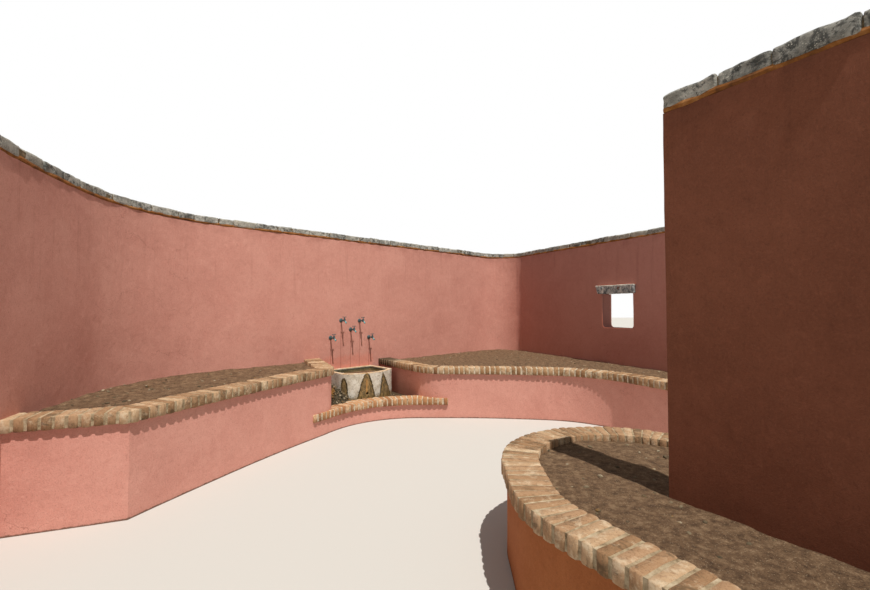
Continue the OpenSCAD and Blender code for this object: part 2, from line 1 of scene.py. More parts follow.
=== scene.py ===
# Looks of a curved garden wall with raised planters and a tap fountain. Metres, +Z up.
import collections
import itertools
import math
import random

import bmesh
import bpy
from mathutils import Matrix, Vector, noise


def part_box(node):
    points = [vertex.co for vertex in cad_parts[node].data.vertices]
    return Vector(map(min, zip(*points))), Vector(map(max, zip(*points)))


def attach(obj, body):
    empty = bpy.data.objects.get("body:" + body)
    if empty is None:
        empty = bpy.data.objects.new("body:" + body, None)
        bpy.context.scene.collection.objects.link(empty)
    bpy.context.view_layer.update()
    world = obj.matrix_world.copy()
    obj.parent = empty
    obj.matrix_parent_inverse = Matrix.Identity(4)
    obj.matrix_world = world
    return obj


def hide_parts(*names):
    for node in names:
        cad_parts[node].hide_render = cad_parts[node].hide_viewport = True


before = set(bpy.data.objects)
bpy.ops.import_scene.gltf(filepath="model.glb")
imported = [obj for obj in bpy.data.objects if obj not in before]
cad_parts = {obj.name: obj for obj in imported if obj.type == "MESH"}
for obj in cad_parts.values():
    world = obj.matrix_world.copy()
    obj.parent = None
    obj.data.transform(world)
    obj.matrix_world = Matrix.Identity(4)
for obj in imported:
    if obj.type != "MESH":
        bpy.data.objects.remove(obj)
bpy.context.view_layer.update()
SEED = 7
noise.seed_set(SEED)
chance = random.Random(SEED)


# Sizes of the lines that the walls follow

WALL_T = 0.210
PLANTER_T = 0.200
COPING_OUT = 0.015
BED_T = 0.025
CAP_OUT = 0.038
CAP_H = 0.095

WALL_HEADING = 43.4
RUN_BEFORE, RUN_AFTER = 1.825, 3.220
CURVE_R, CURVE_TURN = 1.796, 56.5
SWEEP_R, SWEEP_TURN = 6.645, 18.5
CORNER_R, CORNER_TURN = 0.515, 107.4
RIGHT_RUN = 4.200

NICHE_W = 1.150
LEFT_SIDE_ANGLE, LEFT_SIDE_RUN = 71.6, 0.990
LEFT_CORNER_R, LEFT_CORNER_TURN = 0.260, 52.2
LEFT_FRONT_R, LEFT_FRONT_TURN = 15.700, 7.9
LEFT_LEAD, LEFT_END_HEADING, LEFT_END_RUN = 0.160, 21.0, 0.725

RIGHT_SIDE_ANGLE, RIGHT_SIDE_RUN = 97.4, 1.112
NOSE_R = 0.550
RIGHT_FRONT_R, RIGHT_FRONT_TURN = 8.000, 10.0
OUTER_R, FAR_RUN, RIGHT_END_RUN = 1.200, 0.620, 1.010

CURB_RUN, CURB_R, CURB_TURN, CURB_LEAD = 0.400, 1.180, 62.0, 0.390
BASIN_LEFT, BOW_OUT, BOW_R = 0.045, 0.045, 0.670
BASIN_W, BASIN_T, BASIN_TOP = 0.870, 0.060, 0.615

INNER_START = (2.637, -4.635, -58.6)
INNER_RUN, INNER_ROUND_FROM = 1.700, 0.500
INNER_ROUND_R, INNER_ROUND_TURN = 0.803, 236.6
INNER_STRAIGHT, INNER_SIDE_RUN, INNER_END_RUN = 0.335, 1.600, 0.803

WINDOW_FROM, WINDOW_W, WINDOW_SILL, WINDOW_H = 2.055, 0.600, 1.230, 0.538
WINDOW_R = 0.055
LINTEL_H, LINTEL_BEARING, LINTEL_SLANT = 0.142, 0.045, 0.050
LINTEL_TOP = WINDOW_SILL + WINDOW_H + LINTEL_H

TAP_ALONG = (-0.355, -0.175, 0.0, 0.165, 0.345)
TAP_HEIGHT = (1.090, 1.350, 1.205, 1.340, 1.070)


# Stations: a point on the ground with the heading of a line there, in degrees anticlockwise from +X

def heading(s):
    return math.cos(math.radians(s[2])), math.sin(math.radians(s[2]))


def ahead(s, run):
    x, y = heading(s)
    return (s[0] + run * x, s[1] + run * y, s[2])


def beside(s, left):
    x, y = heading(s)
    return (s[0] - left * y, s[1] + left * x, s[2])


def turned(s, angle):
    return (s[0], s[1], s[2] + angle)


def centre(s, r, angle):
    """The centre of a bend: to the right for a positive angle, to the left for a negative one."""
    return beside(s, -math.copysign(r, angle))


def bent(s, r, angle):
    return beside(turned(centre(s, r, angle), -angle), math.copysign(r, angle))


def bent_back(s, r, angle):
    return beside(turned(centre(s, r, angle), angle), math.copysign(r, angle))


def straight(start, run):
    return {"start": start, "length": run}


def bend(start, r, angle):
    return {"start": start, "length": r * math.radians(abs(angle)), "r": r, "angle": angle}


def length_of(line):
    return sum(run["length"] for run in line)


def station_on(line, distance):
    """The station a distance along a line of straight runs and bends, which may go past its ends."""
    for run in line:
        if distance <= run["length"] or run is line[-1]:
            break
        distance -= run["length"]
    if "r" in run:
        return bent(run["start"], run["r"], math.copysign(math.degrees(distance / run["r"]), run["angle"]))
    return ahead(run["start"], distance)


fountain = beside((0, 0, WALL_HEADING), -WALL_T / 2)
straight_start = ahead(fountain, -RUN_BEFORE)
curve_start = bent_back(straight_start, CURVE_R, CURVE_TURN)
left_end = bent_back(curve_start, SWEEP_R, SWEEP_TURN)
corner_start = ahead(fountain, RUN_AFTER)
right_start = bent(corner_start, CORNER_R, CORNER_TURN)
window_start = ahead(right_start, WINDOW_FROM)
bow_middle = beside(ahead(fountain, -BASIN_LEFT), -BOW_OUT)

left_side_foot = turned(ahead(fountain, -NICHE_W / 2), LEFT_SIDE_ANGLE)
left_side_start = ahead(left_side_foot, -LEFT_SIDE_RUN)
left_front_finish = bent_back(left_side_start, LEFT_CORNER_R, -LEFT_CORNER_TURN)
left_front_start = bent_back(left_front_finish, LEFT_FRONT_R, LEFT_FRONT_TURN)
left_lead_start = ahead(left_front_start, -LEFT_LEAD)
left_end_corner = (left_lead_start[0], left_lead_start[1], LEFT_END_HEADING)

right_side_foot = turned(ahead(fountain, NICHE_W / 2), -RIGHT_SIDE_ANGLE)
nose_start = ahead(right_side_foot, RIGHT_SIDE_RUN)
nose_turn = -nose_start[2]
nose_finish = bent(nose_start, NOSE_R, -nose_turn)
right_front_finish = bent(nose_finish, RIGHT_FRONT_R, RIGHT_FRONT_TURN)
outer_turn = right_front_finish[2] - right_start[2]
outer_finish = bent(right_front_finish, OUTER_R, outer_turn)
far_finish = ahead(outer_finish, FAR_RUN)

curb_bend_finish = ahead(nose_finish, -CURB_RUN)
curb_bend_start = bent_back(curb_bend_finish, CURB_R, CURB_TURN)
curb_start = ahead(curb_bend_start, -CURB_LEAD)

inner_round_start = turned(beside(ahead(INNER_START, INNER_ROUND_FROM), WALL_T), 90)
inner_round_finish = bent(inner_round_start, INNER_ROUND_R, -INNER_ROUND_TURN)
inner_bend_start = ahead(inner_round_finish, INNER_STRAIGHT)
inner_bend_turn = INNER_START[2] + 360 - inner_bend_start[2]
inner_side_start = bent(inner_bend_start, INNER_ROUND_R, -inner_bend_turn)
inner_side_finish = ahead(inner_side_start, INNER_SIDE_RUN)

main_line = [
    bend(left_end, SWEEP_R, SWEEP_TURN),
    bend(curve_start, CURVE_R, CURVE_TURN),
    straight(straight_start, RUN_BEFORE + RUN_AFTER),
    bend(corner_start, CORNER_R, CORNER_TURN),
    straight(right_start, RIGHT_RUN),
]
left_end_line = [straight(ahead(left_end_corner, -LEFT_END_RUN), LEFT_END_RUN)]
left_front_line = [
    straight(left_lead_start, LEFT_LEAD),
    bend(left_front_start, LEFT_FRONT_R, LEFT_FRONT_TURN),
    bend(left_front_finish, LEFT_CORNER_R, -LEFT_CORNER_TURN),
    straight(left_side_start, LEFT_SIDE_RUN),
]
right_line = [
    straight(right_side_foot, RIGHT_SIDE_RUN),
    bend(nose_start, NOSE_R, -nose_turn),
    bend(nose_finish, RIGHT_FRONT_R, RIGHT_FRONT_TURN),
    bend(right_front_finish, OUTER_R, outer_turn),
    straight(outer_finish, FAR_RUN),
]
right_end_line = [straight(turned(far_finish, 90), RIGHT_END_RUN)]
curb_line = [
    straight(curb_start, CURB_LEAD),
    bend(curb_bend_start, CURB_R, CURB_TURN),
    straight(curb_bend_finish, CURB_RUN),
]
inner_line = [straight(INNER_START, INNER_RUN)]
inner_round_line = [
    bend(inner_round_start, INNER_ROUND_R, -INNER_ROUND_TURN),
    straight(inner_round_finish, INNER_STRAIGHT),
    bend(inner_bend_start, INNER_ROUND_R, -inner_bend_turn),
    straight(inner_side_start, INNER_SIDE_RUN),
]
inner_end_line = [straight(turned(inner_side_finish, 90), INNER_END_RUN)]


# Node trees

def plug(tree, socket, value):
    """Links a socket to another one, or sets its value."""
    if isinstance(value, bpy.types.NodeSocket):
        tree.links.new(value, socket)
    else:
        socket.default_value = value


def add_node(tree, kind, inputs=None, **settings):
    node = tree.nodes.new(kind)
    for key, value in settings.items():
        setattr(node, key, value)
    for key, value in (inputs or {}).items():
        plug(tree, node.inputs[key], value)
    return node


# Materials

def rgb(r, g, b):
    """A colour as it looks on screen, 0 to 255, in the linear values that sockets take."""
    def linear(c):
        c /= 255
        return c / 12.92 if c <= 0.04045 else ((c + 0.055) / 1.055) ** 2.4
    return (linear(r), linear(g), linear(b), 1.0)


class Finish:
    """A procedural material, laid on coat by coat in the piece's own coordinates."""

    def __init__(self, name, roughness=0.9, metallic=0.0, specular=0.3):
        self.material = bpy.data.materials.new(name)
        self.material.use_nodes = True
        self.tree = self.material.node_tree
        self.shader = self.tree.nodes["Principled BSDF"].inputs
        for key, value in (("Roughness", roughness), ("Metallic", metallic), ("Specular IOR Level", specular)):
            self.shader[key].default_value = value
        self.place = self.add("ShaderNodeTexCoord").outputs["Object"]
        self.colour = None

    def add(self, kind, inputs=None, **settings):
        return add_node(self.tree, kind, inputs, **settings)

    # Values

    def math(self, operation, a, b=0.0, clamp=False):
        return self.add("ShaderNodeMath", {0: a, 1: b}, operation=operation, use_clamp=clamp).outputs[0]

    def plus(self, a, b):
        return self.math("ADD", a, b)

    def minus(self, a, b):
        return self.math("SUBTRACT", a, b)

    def times(self, product, *factors):
        for factor in factors:
            product = self.math("MULTIPLY", product, factor)
        return product

    def vectors(self, operation, a, b):
        return self.add("ShaderNodeVectorMath", {0: a, 1: b}, operation=operation).outputs

    def band(self, value, low, high, most=1.0, least=0.0):
        """A share that goes smoothly from least to most while the value goes from low to high."""
        return self.add("ShaderNodeMapRange", {"Value": value, "From Min": low, "From Max": high,
                                               "To Min": least, "To Max": most},
                        interpolation_type="SMOOTHSTEP").outputs["Result"]

    def between(self, value, low, high, soft):
        """1 between low and high, falling to 0 over a soft edge outside them."""
        return self.times(self.band(value, low - soft, low), self.band(value, high + soft, high))

    # Patterns

    def stretched(self, scale, turn=0.0):
        """The coordinates turned about the vertical and stretched."""
        return self.add("ShaderNodeMapping", {"Vector": self.place, "Scale": scale,
                                              "Rotation": (0, 0, math.radians(turn))}).outputs[0]

    def axes(self, at=None):
        return self.add("ShaderNodeSeparateXYZ", {"Vector": at or self.place}).outputs

    def on_wall(self, station):
        """Coordinates along, behind and above a station of a wall's garden face."""
        moved = self.vectors("SUBTRACT", self.place, (station[0], station[1], 0.0))[0]
        return self.axes(self.add("ShaderNodeMapping", {
            "Vector": moved, "Rotation": (0, 0, math.radians(-station[2]))}).outputs[0])

    def noise(self, scale, detail=4.0, roughness=0.55, distortion=0.0, at=None):
        return self.add("ShaderNodeTexNoise", {"Vector": at or self.place, "Scale": scale, "Detail": detail,
                                               "Roughness": roughness, "Distortion": distortion}).outputs["Fac"]

    def ragged(self, amount, *cloud):
        """An unevenness round 0, by an amount."""
        return self.times(self.minus(self.noise(*cloud), 0.5), amount)

    def cells(self, scale, feature="F1", at=None):
        return self.add("ShaderNodeTexVoronoi", {"Vector": at or self.place, "Scale": scale},
                        feature=feature).outputs["Distance"]

    def attribute(self, name):
        return self.add("ShaderNodeAttribute", attribute_name=name).outputs["Fac"]

    # Coats of colour

    def ramp(self, value, *stops):
        node = self.add("ShaderNodeValToRGB", {"Fac": value})
        points = node.color_ramp.elements
        while len(points) < len(stops):
            points.new(0.5)
        for point, (position, colour) in zip(points, stops):
            point.position = position
            point.color = colour
        return node.outputs["Color"]

    def ground(self, value, *stops):
        """The first coat, whose colour goes with a value."""
        self.colour = self.ramp(value, *stops)

    def coat(self, colour, share):
        """A colour over the coats below it, by a share from 0 to 1."""
        node = self.add("ShaderNodeMix", data_type="RGBA")
        for index, value in ((0, share), (6, self.colour), (7, colour)):
            plug(self.tree, node.inputs[index], value)
        self.colour = node.outputs[2]

    def patch(self, colour, *band):
        """A colour over the coats below it where a value passes from low to high."""
        self.coat(colour, self.band(*band))

    # Relief, and the end

    def bump(self, height, distance, strength=1.0, over=None):
        node = self.add("ShaderNodeBump", {"Height": height, "Distance": distance, "Strength": strength})
        if over is not None:
            plug(self.tree, node.inputs["Normal"], over)
        return node.outputs["Normal"]

    def finish(self, normal, roughness=None):
        plug(self.tree, self.shader["Base Color"], self.colour)
        plug(self.tree, self.shader["Normal"], normal)
        if roughness is not None:
            plug(self.tree, self.shader["Roughness"], roughness)
        return self.material


def trowelled(f):
    """The relief of hand-floated render: low waves, trowel marks and grit."""
    waves = f.bump(f.noise(2.2, 3.0), 0.020, 0.4)
    marks = f.bump(f.noise(15.0, 5.0, 0.65, 0.5, at=f.stretched((1.0, 1.0, 0.6))), 0.008, 0.6, over=waves)
    return f.bump(f.noise(150.0, 3.0, 0.7), 0.0030, 0.7, over=marks)


def weathered_render(name, light, main, dark, damp):
    """Painted lime render: a cloudy, gritty colour with faint runs, a dirty foot and a few fine cracks."""
    f = Finish(name, roughness=0.94, specular=0.15)
    z = f.axes()[2]
    f.ground(f.noise(1.3, 7.0, 0.70, 0.5), (0.10, dark), (0.50, main), (0.90, light))
    patches = f.noise(17.0, 6.0, 0.75, 0.4)
    f.patch(light, patches, 0.50, 0.70, 0.40)
    f.patch(dark, patches, 0.46, 0.30, 0.45)
    grit = f.noise(95.0, 3.0, 0.8)
    f.patch(light, grit, 0.52, 0.68, 0.40)
    f.patch(damp, grit, 0.46, 0.32, 0.35)
    runs = f.noise(4.5, 5.0, 0.7, at=f.stretched((3.0, 3.0, 0.16)))
    f.coat(damp, f.times(f.band(runs, 0.55, 0.75, 0.30), f.band(z, 1.0, 2.5)))
    f.patch(light, runs, 0.42, 0.30, 0.22)
    f.coat(damp, f.times(f.band(z, 2.45, 2.60), f.band(f.noise(5.0, 5.0, 0.7), 0.35, 0.7, 0.45)))
    foot = f.plus(z, f.ragged(0.035, 23.0, 6.0, 0.8))
    f.patch(damp, foot, 0.050, 0.010, 0.12)
    f.patch(rgb(84, 70, 56), foot, 0.017, 0.006, 0.80)
    wandering = f.add("ShaderNodeTexNoise", {"Vector": f.place, "Scale": 2.5, "Detail": 6.0}).outputs["Color"]
    cracks = f.cells(0.9, "DISTANCE_TO_EDGE", at=f.vectors("ADD", f.place, wandering)[0])
    f.coat(damp, f.times(f.band(cracks, 0.0030, 0.0012), f.band(f.noise(0.8, 2.0), 0.52, 0.62, 0.45)))
    return f


def painted_shade_right_wall_and_reveal(f):
    """Painted shade: a darker colour over the right wall, which stands in shade, and a deeper one in the
    window's reveal.
    """
    x, y, z = f.on_wall(right_start)
    ragged = f.ragged(0.5, 2.0, 6.0, 0.75)
    # painted shade over the right wall's garden face
    f.coat(rgb(142, 98, 94),
           f.times(f.band(f.plus(x, ragged), -0.35, 0.05), f.between(y, -0.03, 0.03, 0.02), 0.36))
    # painted shade in the window's reveal, a deep recess
    f.coat(rgb(112, 68, 68),
           f.times(f.between(x, WINDOW_FROM - 0.01, WINDOW_FROM + WINDOW_W + 0.01, 0.004),
                   f.between(z, WINDOW_SILL - 0.01, WINDOW_SILL + WINDOW_H + 0.01, 0.004),
                   f.between(y, 0.022, WALL_T - 0.022, 0.012), 0.55))


def splash_and_drips(f):
    """The reddened band behind the basin, and the thin run below each tap."""
    x, y, z = f.on_wall(fountain)
    face = f.between(y, -0.01, 0.02, 0.01)
    ragged = f.ragged(0.26, 9.0, 6.0, 0.75)
    across = f.between(f.plus(x, ragged), -0.47, 0.39, 0.05)
    splash = f.times(across, f.band(f.plus(z, ragged), 0.84, 0.74))
    f.coat(rgb(220, 126, 104),
           f.times(splash, f.band(f.noise(30.0, 5.0, 0.7), 0.30, 0.60, 1.0, 0.45), face, 0.42))
    for along, tall in zip(TAP_ALONG, TAP_HEIGHT):
        off = f.math("ABSOLUTE", f.minus(f.plus(x, f.ragged(0.014, 4.0, 3.0)), along))
        run = f.times(f.band(off, 0.007, 0.002), f.between(z, 0.60, tall - 0.10, 0.20))
        f.coat(rgb(140, 66, 54), f.times(run, face, 0.50))


def window_highlights_and_red_line(f):
    """Painted highlights: paler, sunlit edges at the opening's foot and left side; and a red line of render
    above the lintel.
    """
    x, y, z = f.on_wall(window_start)
    ragged = f.ragged(0.022, 22.0, 5.0, 0.7)
    beyond_side = f.math("MAXIMUM", f.minus(WINDOW_R, x), f.minus(x, WINDOW_W - WINDOW_R))
    beyond_side = f.math("MAXIMUM", beyond_side, 0.0)
    beyond_foot = f.math("MAXIMUM", f.minus(WINDOW_SILL + WINDOW_R, z), 0.0)
    from_heart = f.math("SQRT", f.plus(f.times(beyond_side, beyond_side), f.times(beyond_foot, beyond_foot)))
    edge = f.between(f.plus(f.minus(from_heart, WINDOW_R), ragged), -0.010, 0.008, 0.006)
    fading = f.times(f.band(z, WINDOW_SILL + 0.34, WINDOW_SILL + 0.10),
                     f.band(x, WINDOW_W + 0.01, WINDOW_W - 0.10))
    # painted highlight along the opening's sunlit edges
    f.coat(rgb(240, 164, 144), f.times(edge, fading, f.between(y, -0.012, 0.016, 0.01), 0.95))
    line = f.times(f.between(f.plus(z, f.times(ragged, 0.4)), LINTEL_TOP, LINTEL_TOP + 0.008, 0.006),
                   f.between(x, -LINTEL_BEARING - LINTEL_SLANT, WINDOW_W + LINTEL_BEARING, 0.01))
    f.coat(rgb(214, 108, 84), f.times(line, f.between(y, -0.02, 0.03, 0.01), 0.8))


def pink_render():
    f = weathered_render("pink_render", rgb(224, 167, 151), rgb(210, 150, 135), rgb(191, 129, 115),
                         rgb(146, 92, 78))
    painted_shade_right_wall_and_reveal(f)
    splash_and_drips(f)
    window_highlights_and_red_line(f)
    return f.finish(trowelled(f))


def brown_render():
    # orange-brown paint whose colours are set dark: partly the paint's own colour, partly painted shade of the
    # near wall
    f = weathered_render("brown_render", rgb(142, 89, 68), rgb(124, 76, 57), rgb(106, 63, 47), rgb(88, 54, 42))
    return f.finish(trowelled(f))


def terracotta_render():
    # orange render whose colours are set dark: partly the render's own colour, partly painted shade of the near
    # planter's wall
    f = weathered_render("terracotta_render", rgb(180, 114, 72), rgb(162, 98, 58), rgb(140, 82, 47),
                         rgb(120, 72, 48))
    return f.finish(trowelled(f))


def limestone():
    """Rough slabs: grey where weathered, with near-black lichen and crusts of white specks."""
    f = Finish("limestone", roughness=0.95, specular=0.2)
    tone = f.attribute("tone")
    f.ground(f.noise(9.0, 8.0, 0.75, 0.3), (0.30, rgb(112, 111, 105)), (0.48, rgb(160, 158, 150)),
             (0.66, rgb(212, 209, 200)))
    f.patch(rgb(182, 176, 160), tone, 0.2, 1.0, 0.45)
    lichen = f.plus(f.noise(13.0, 9.0, 0.8, 0.5), f.times(f.minus(0.5, tone), 0.10))
    f.patch(rgb(62, 63, 61), lichen, 0.50, 0.60, 0.85)
    f.patch(rgb(176, 146, 92), f.noise(3.5, 5.0, 0.65), 0.62, 0.74, 0.25)
    crust = f.band(f.noise(5.0, 4.0, 0.6), 0.42, 0.56)
    for scale, size in ((42.0, 0.30), (95.0, 0.34)):
        specks = f.band(f.cells(scale), size, size - 0.12)
        broken = f.band(f.noise(scale * 1.3, 3.0, 0.7), 0.44, 0.56)
        f.coat(rgb(222, 218, 204), f.times(specks, broken, crust))
    rough = f.bump(f.noise(24.0, 9.0, 0.8), 0.016, 1.0)
    return f.finish(f.bump(f.cells(70.0), 0.003, 0.6, over=rough))


def ochre_mortar():
    f = Finish("ochre_mortar", roughness=0.95, specular=0.2)
    f.ground(f.noise(9.0, 6.0, 0.7), (0.35, rgb(98, 62, 36)), (0.5, rgb(142, 90, 44)),
             (0.68, rgb(170, 120, 72)))
    return f.finish(f.bump(f.noise(42.0, 6.0, 0.7), 0.008, 0.9))


def joint_mortar(name, dark, main, light):
    f = Finish(name, roughness=0.95, specular=0.2)
    f.ground(f.noise(18.0, 6.0, 0.75), (0.33, dark), (0.5, main), (0.68, light))
    return f.finish(f.bump(f.noise(70.0, 6.0, 0.75), 0.006, 0.9))


def brick(name, tones, lime, grime_share, soot_at=None):
    """Worn clay bricks, each of its own tone, pitted, with a share of lime bloom and one of dark grime."""
    f = Finish(name, roughness=0.93, specular=0.2)
    tone = f.attribute("tone")
    f.ground(tone, *((i / (len(tones) - 1), each) for i, each in enumerate(tones)))
    blotches = f.noise(26.0, 7.0, 0.75, 0.3)
    f.patch(tones[0], blotches, 0.50, 0.68, 0.55)
    f.patch(tones[-1], blotches, 0.44, 0.30, 0.50)
    f.patch(rgb(112, 78, 52), f.noise(75.0, 5.0, 0.75, at=f.stretched((1.0, 1.0, 0.20))), 0.50, 0.64, 0.45)
    bloom = f.plus(f.noise(15.0, 7.0, 0.75), f.times(f.minus(tone, 0.5), 0.08))
    f.patch(rgb(222, 205, 176), bloom, 0.50, 0.66, lime)
    grime = f.plus(f.noise(8.0, 9.0, 0.8, 0.5), f.times(f.minus(0.5, tone), 0.10))
    f.patch(rgb(82, 68, 50), grime, 0.50, 0.64, grime_share)
    spots = f.times(f.band(f.noise(75.0, 4.0, 0.8), 0.60, 0.68), f.band(f.noise(20.0, 3.0), 0.42, 0.55))
    f.coat(rgb(58, 50, 40), f.times(spots, grime_share))
    if soot_at is not None:
        away = f.vectors("DISTANCE", f.place, soot_at)["Value"]
        f.patch(rgb(54, 46, 34), f.plus(away, f.times(f.noise(14.0, 6.0, 0.75), 0.30)), 0.75, 0.30, 0.85)
    pits = f.bump(f.noise(48.0, 7.0, 0.8), 0.006, 0.9)
    return f.finish(f.bump(f.noise(190.0, 4.0, 0.7), 0.002, 0.7, over=pits))


def soil(name, damp):
    f = Finish(name, roughness=0.97, specular=0.15)
    f.ground(f.noise(18.0, 8.0, 0.75), (0.35, rgb(74, 56, 42)), (0.52, rgb(112, 88, 66)),
             (0.70, rgb(152, 126, 98)))
    f.patch(rgb(178, 158, 130), f.cells(85.0), 0.25, 0.12, 0.5)
    # a darker coat by the share given: dampness, and for the niche's soil painted shade as well
    f.coat(rgb(46, 38, 26), damp)
    crumbs = f.bump(f.noise(60.0, 8.0, 0.8), 0.012, 1.0)
    return f.finish(f.bump(f.cells(120.0), 0.004, 0.7, over=crumbs))


def rubble_stone(name, moss):
    """Broken stones under a share of dark moss."""
    f = Finish(name, roughness=0.93, specular=0.25)
    f.ground(f.attribute("tone"), (0.0, rgb(74, 64, 48)), (0.55, rgb(112, 98, 76)), (1.0, rgb(160, 146, 122)))
    f.patch(rgb(52, 46, 32), f.noise(24.0, 7.0, 0.7), 0.58 - 0.22 * moss, 0.70 - 0.14 * moss, 0.5 + 0.45 * moss)
    f.patch(rgb(150, 104, 44), f.noise(11.0, 5.0, 0.7), 0.54, 0.66, 0.65)
    return f.finish(f.bump(f.noise(50.0, 6.0, 0.75), 0.005, 0.9))


# Mossy runs under the basin's rim: bearing from the bow's middle and lean in degrees, height of the upper
# end, half the width in degrees and how soon it widens. One has an ochre streak down its middle.
MOSSY_RUNS = ((-39.0, -1.5, 0.556, 7.6, 0.42), (-10.6, -0.4, 0.622, 12.4, 0.55), (13.6, 7.2, 0.618, 13.0, 0.95))
STREAKED_RUN = 1
RUN_FOOT = 0.25


def mossy_runs(f, x, y, z, ragged, moss):
    """The runs that spread over the bow's outside from below its rim."""
    bearing = f.math("ARCTAN2", x, f.times(y, -1.0))
    outside = f.band(f.plus(f.times(x, x), f.times(y, y)), (BOW_R - 0.052) ** 2, (BOW_R - 0.044) ** 2)
    for number, (start, lean, top, half, power) in enumerate(MOSSY_RUNS):
        fall = f.math("DIVIDE", f.minus(top, z), top - RUN_FOOT, clamp=True)
        middle = f.plus(f.times(fall, math.radians(lean)), math.radians(start))
        off = f.math("ABSOLUTE", f.minus(bearing, middle))
        reach = f.times(f.math("POWER", fall, power), math.radians(half))
        inside = f.plus(f.minus(reach, off), f.times(ragged, 0.130))
        stain = f.times(f.band(inside, -0.002, 0.008), outside, f.band(z, top + 0.012, top - 0.006))
        f.coat(moss, f.times(stain, 0.95))
        edge = f.times(stain, f.between(inside, 0.000, 0.030, 0.016))
        f.coat(rgb(44, 38, 24), f.times(edge, f.band(f.noise(40.0, 5.0, 0.7), 0.35, 0.56, 0.95, 0.25)))
        if number == STREAKED_RUN:
            streak = f.times(f.band(f.plus(off, f.times(ragged, 0.030)), 0.026, 0.008),
                             f.between(z, 0.345, 0.475, 0.07))
            streak = f.times(streak, f.band(f.noise(34.0, 5.0), 0.34, 0.54, 1.0, 0.25), outside, 0.85)
            f.coat(rgb(206, 150, 84), streak)


def mossy_inside(f, x, y, z, ragged):
    """Dark moss on the basin's inner faces, from just below the rim."""
    within_bow = f.band(f.plus(f.times(x, x), f.times(y, y)), (BOW_R - 0.020) ** 2, (BOW_R - 0.036) ** 2)
    within = f.times(within_bow, f.band(f.math("ABSOLUTE", x), BASIN_W / 2 - 0.020, BASIN_W / 2 - 0.036),
                     f.band(y, 0.026, 0.014))
    below_rim = f.band(f.plus(z, f.times(ragged, 0.02)), BASIN_TOP - 0.008, BASIN_TOP - 0.022)
    moss = f.ramp(f.noise(22.0, 7.0, 0.8), (0.36, rgb(34, 36, 26)), (0.50, rgb(66, 64, 42)),
                  (0.66, rgb(112, 100, 66)))
    f.coat(moss, f.times(within, below_rim, 0.95))


def basin_stone():
    """Cast stone, pitted and worn, with three mossy runs below its rim and moss on the inside."""
    f = Finish("basin_stone", roughness=0.9, specular=0.25)
    f.ground(f.noise(7.0, 8.0, 0.72), (0.30, rgb(186, 174, 152)), (0.48, rgb(216, 207, 190)),
             (0.66, rgb(236, 231, 219)))
    f.patch(rgb(116, 98, 72), f.noise(30.0, 7.0, 0.8), 0.55, 0.63, 0.68)
    flecks = f.times(f.band(f.cells(105.0), 0.30, 0.14), f.band(f.noise(24.0, 4.0, 0.7), 0.42, 0.58))
    f.coat(rgb(124, 104, 74), f.times(flecks, 0.60))
    f.patch(rgb(128, 110, 84), f.noise(60.0, 6.0, 0.85), 0.55, 0.66, 0.65)
    x, y, z = f.on_wall(bow_middle)
    ragged = f.minus(f.noise(26.0, 8.0, 0.8), 0.5)
    moss = f.ramp(f.noise(34.0, 8.0, 0.8, at=f.stretched((1.0, 1.0, 0.45))), (0.34, rgb(54, 47, 30)),
                  (0.45, rgb(106, 85, 48)), (0.55, rgb(148, 118, 70)), (0.68, rgb(186, 156, 104)))
    mossy_runs(f, x, y, z, ragged, moss)
    f.patch(moss, f.plus(z, f.times(ragged, 0.16)), 0.31, 0.25, 0.85)
    rim = f.band(z, BASIN_TOP - 0.016, BASIN_TOP - 0.006)
    f.coat(rgb(192, 154, 108), f.times(rim, f.band(f.noise(15.0, 7.0, 0.75), 0.36, 0.60, 0.90, 0.25)))
    mossy_inside(f, x, y, z, ragged)
    rough = f.bump(f.noise(26.0, 8.0, 0.8), 0.008, 0.9)
    return f.finish(f.bump(f.noise(150.0, 4.0, 0.75), 0.003, 0.8, over=rough))


def lintel_stone():
    """A rough-hewn stone, dark with lichen on its face, with a painted highlight along its sunlit upper edge
    and a spot of rust.
    """
    f = Finish("lintel_stone", roughness=0.92, specular=0.25)
    z = f.axes()[2]
    chisel = f.noise(34.0, 6.0, 0.8, 0.2, at=f.stretched((1.6, 1.6, 0.5), turn=26.0))
    grain = f.plus(f.times(f.noise(12.0, 9.0, 0.85, 0.1), 0.62), f.times(chisel, 0.38))
    f.ground(grain, (0.43, rgb(66, 71, 74)), (0.48, rgb(134, 139, 141)), (0.53, rgb(200, 202, 199)),
             (0.59, rgb(242, 240, 232)))
    ragged = f.plus(z, f.ragged(0.05, 16.0, 6.0, 0.75))
    # painted highlight: the upper edge made paler where the sun catches it
    f.patch(rgb(226, 219, 203), ragged, LINTEL_TOP - 0.030, LINTEL_TOP - 0.012, 0.85)
    x, y, _ = f.on_wall(window_start)
    spot = f.add("ShaderNodeCombineXYZ", {"X": x, "Y": y, "Z": z}).outputs[0]
    rust = f.vectors("DISTANCE", spot, (WINDOW_W * 0.62, -0.06, LINTEL_TOP - 0.055))["Value"]
    f.patch(rgb(120, 66, 40), f.plus(rust, f.times(f.noise(34.0, 5.0, 0.8), 0.09)), 0.074, 0.058, 0.8)
    return f.finish(f.bump(grain, 0.016, 1.0))


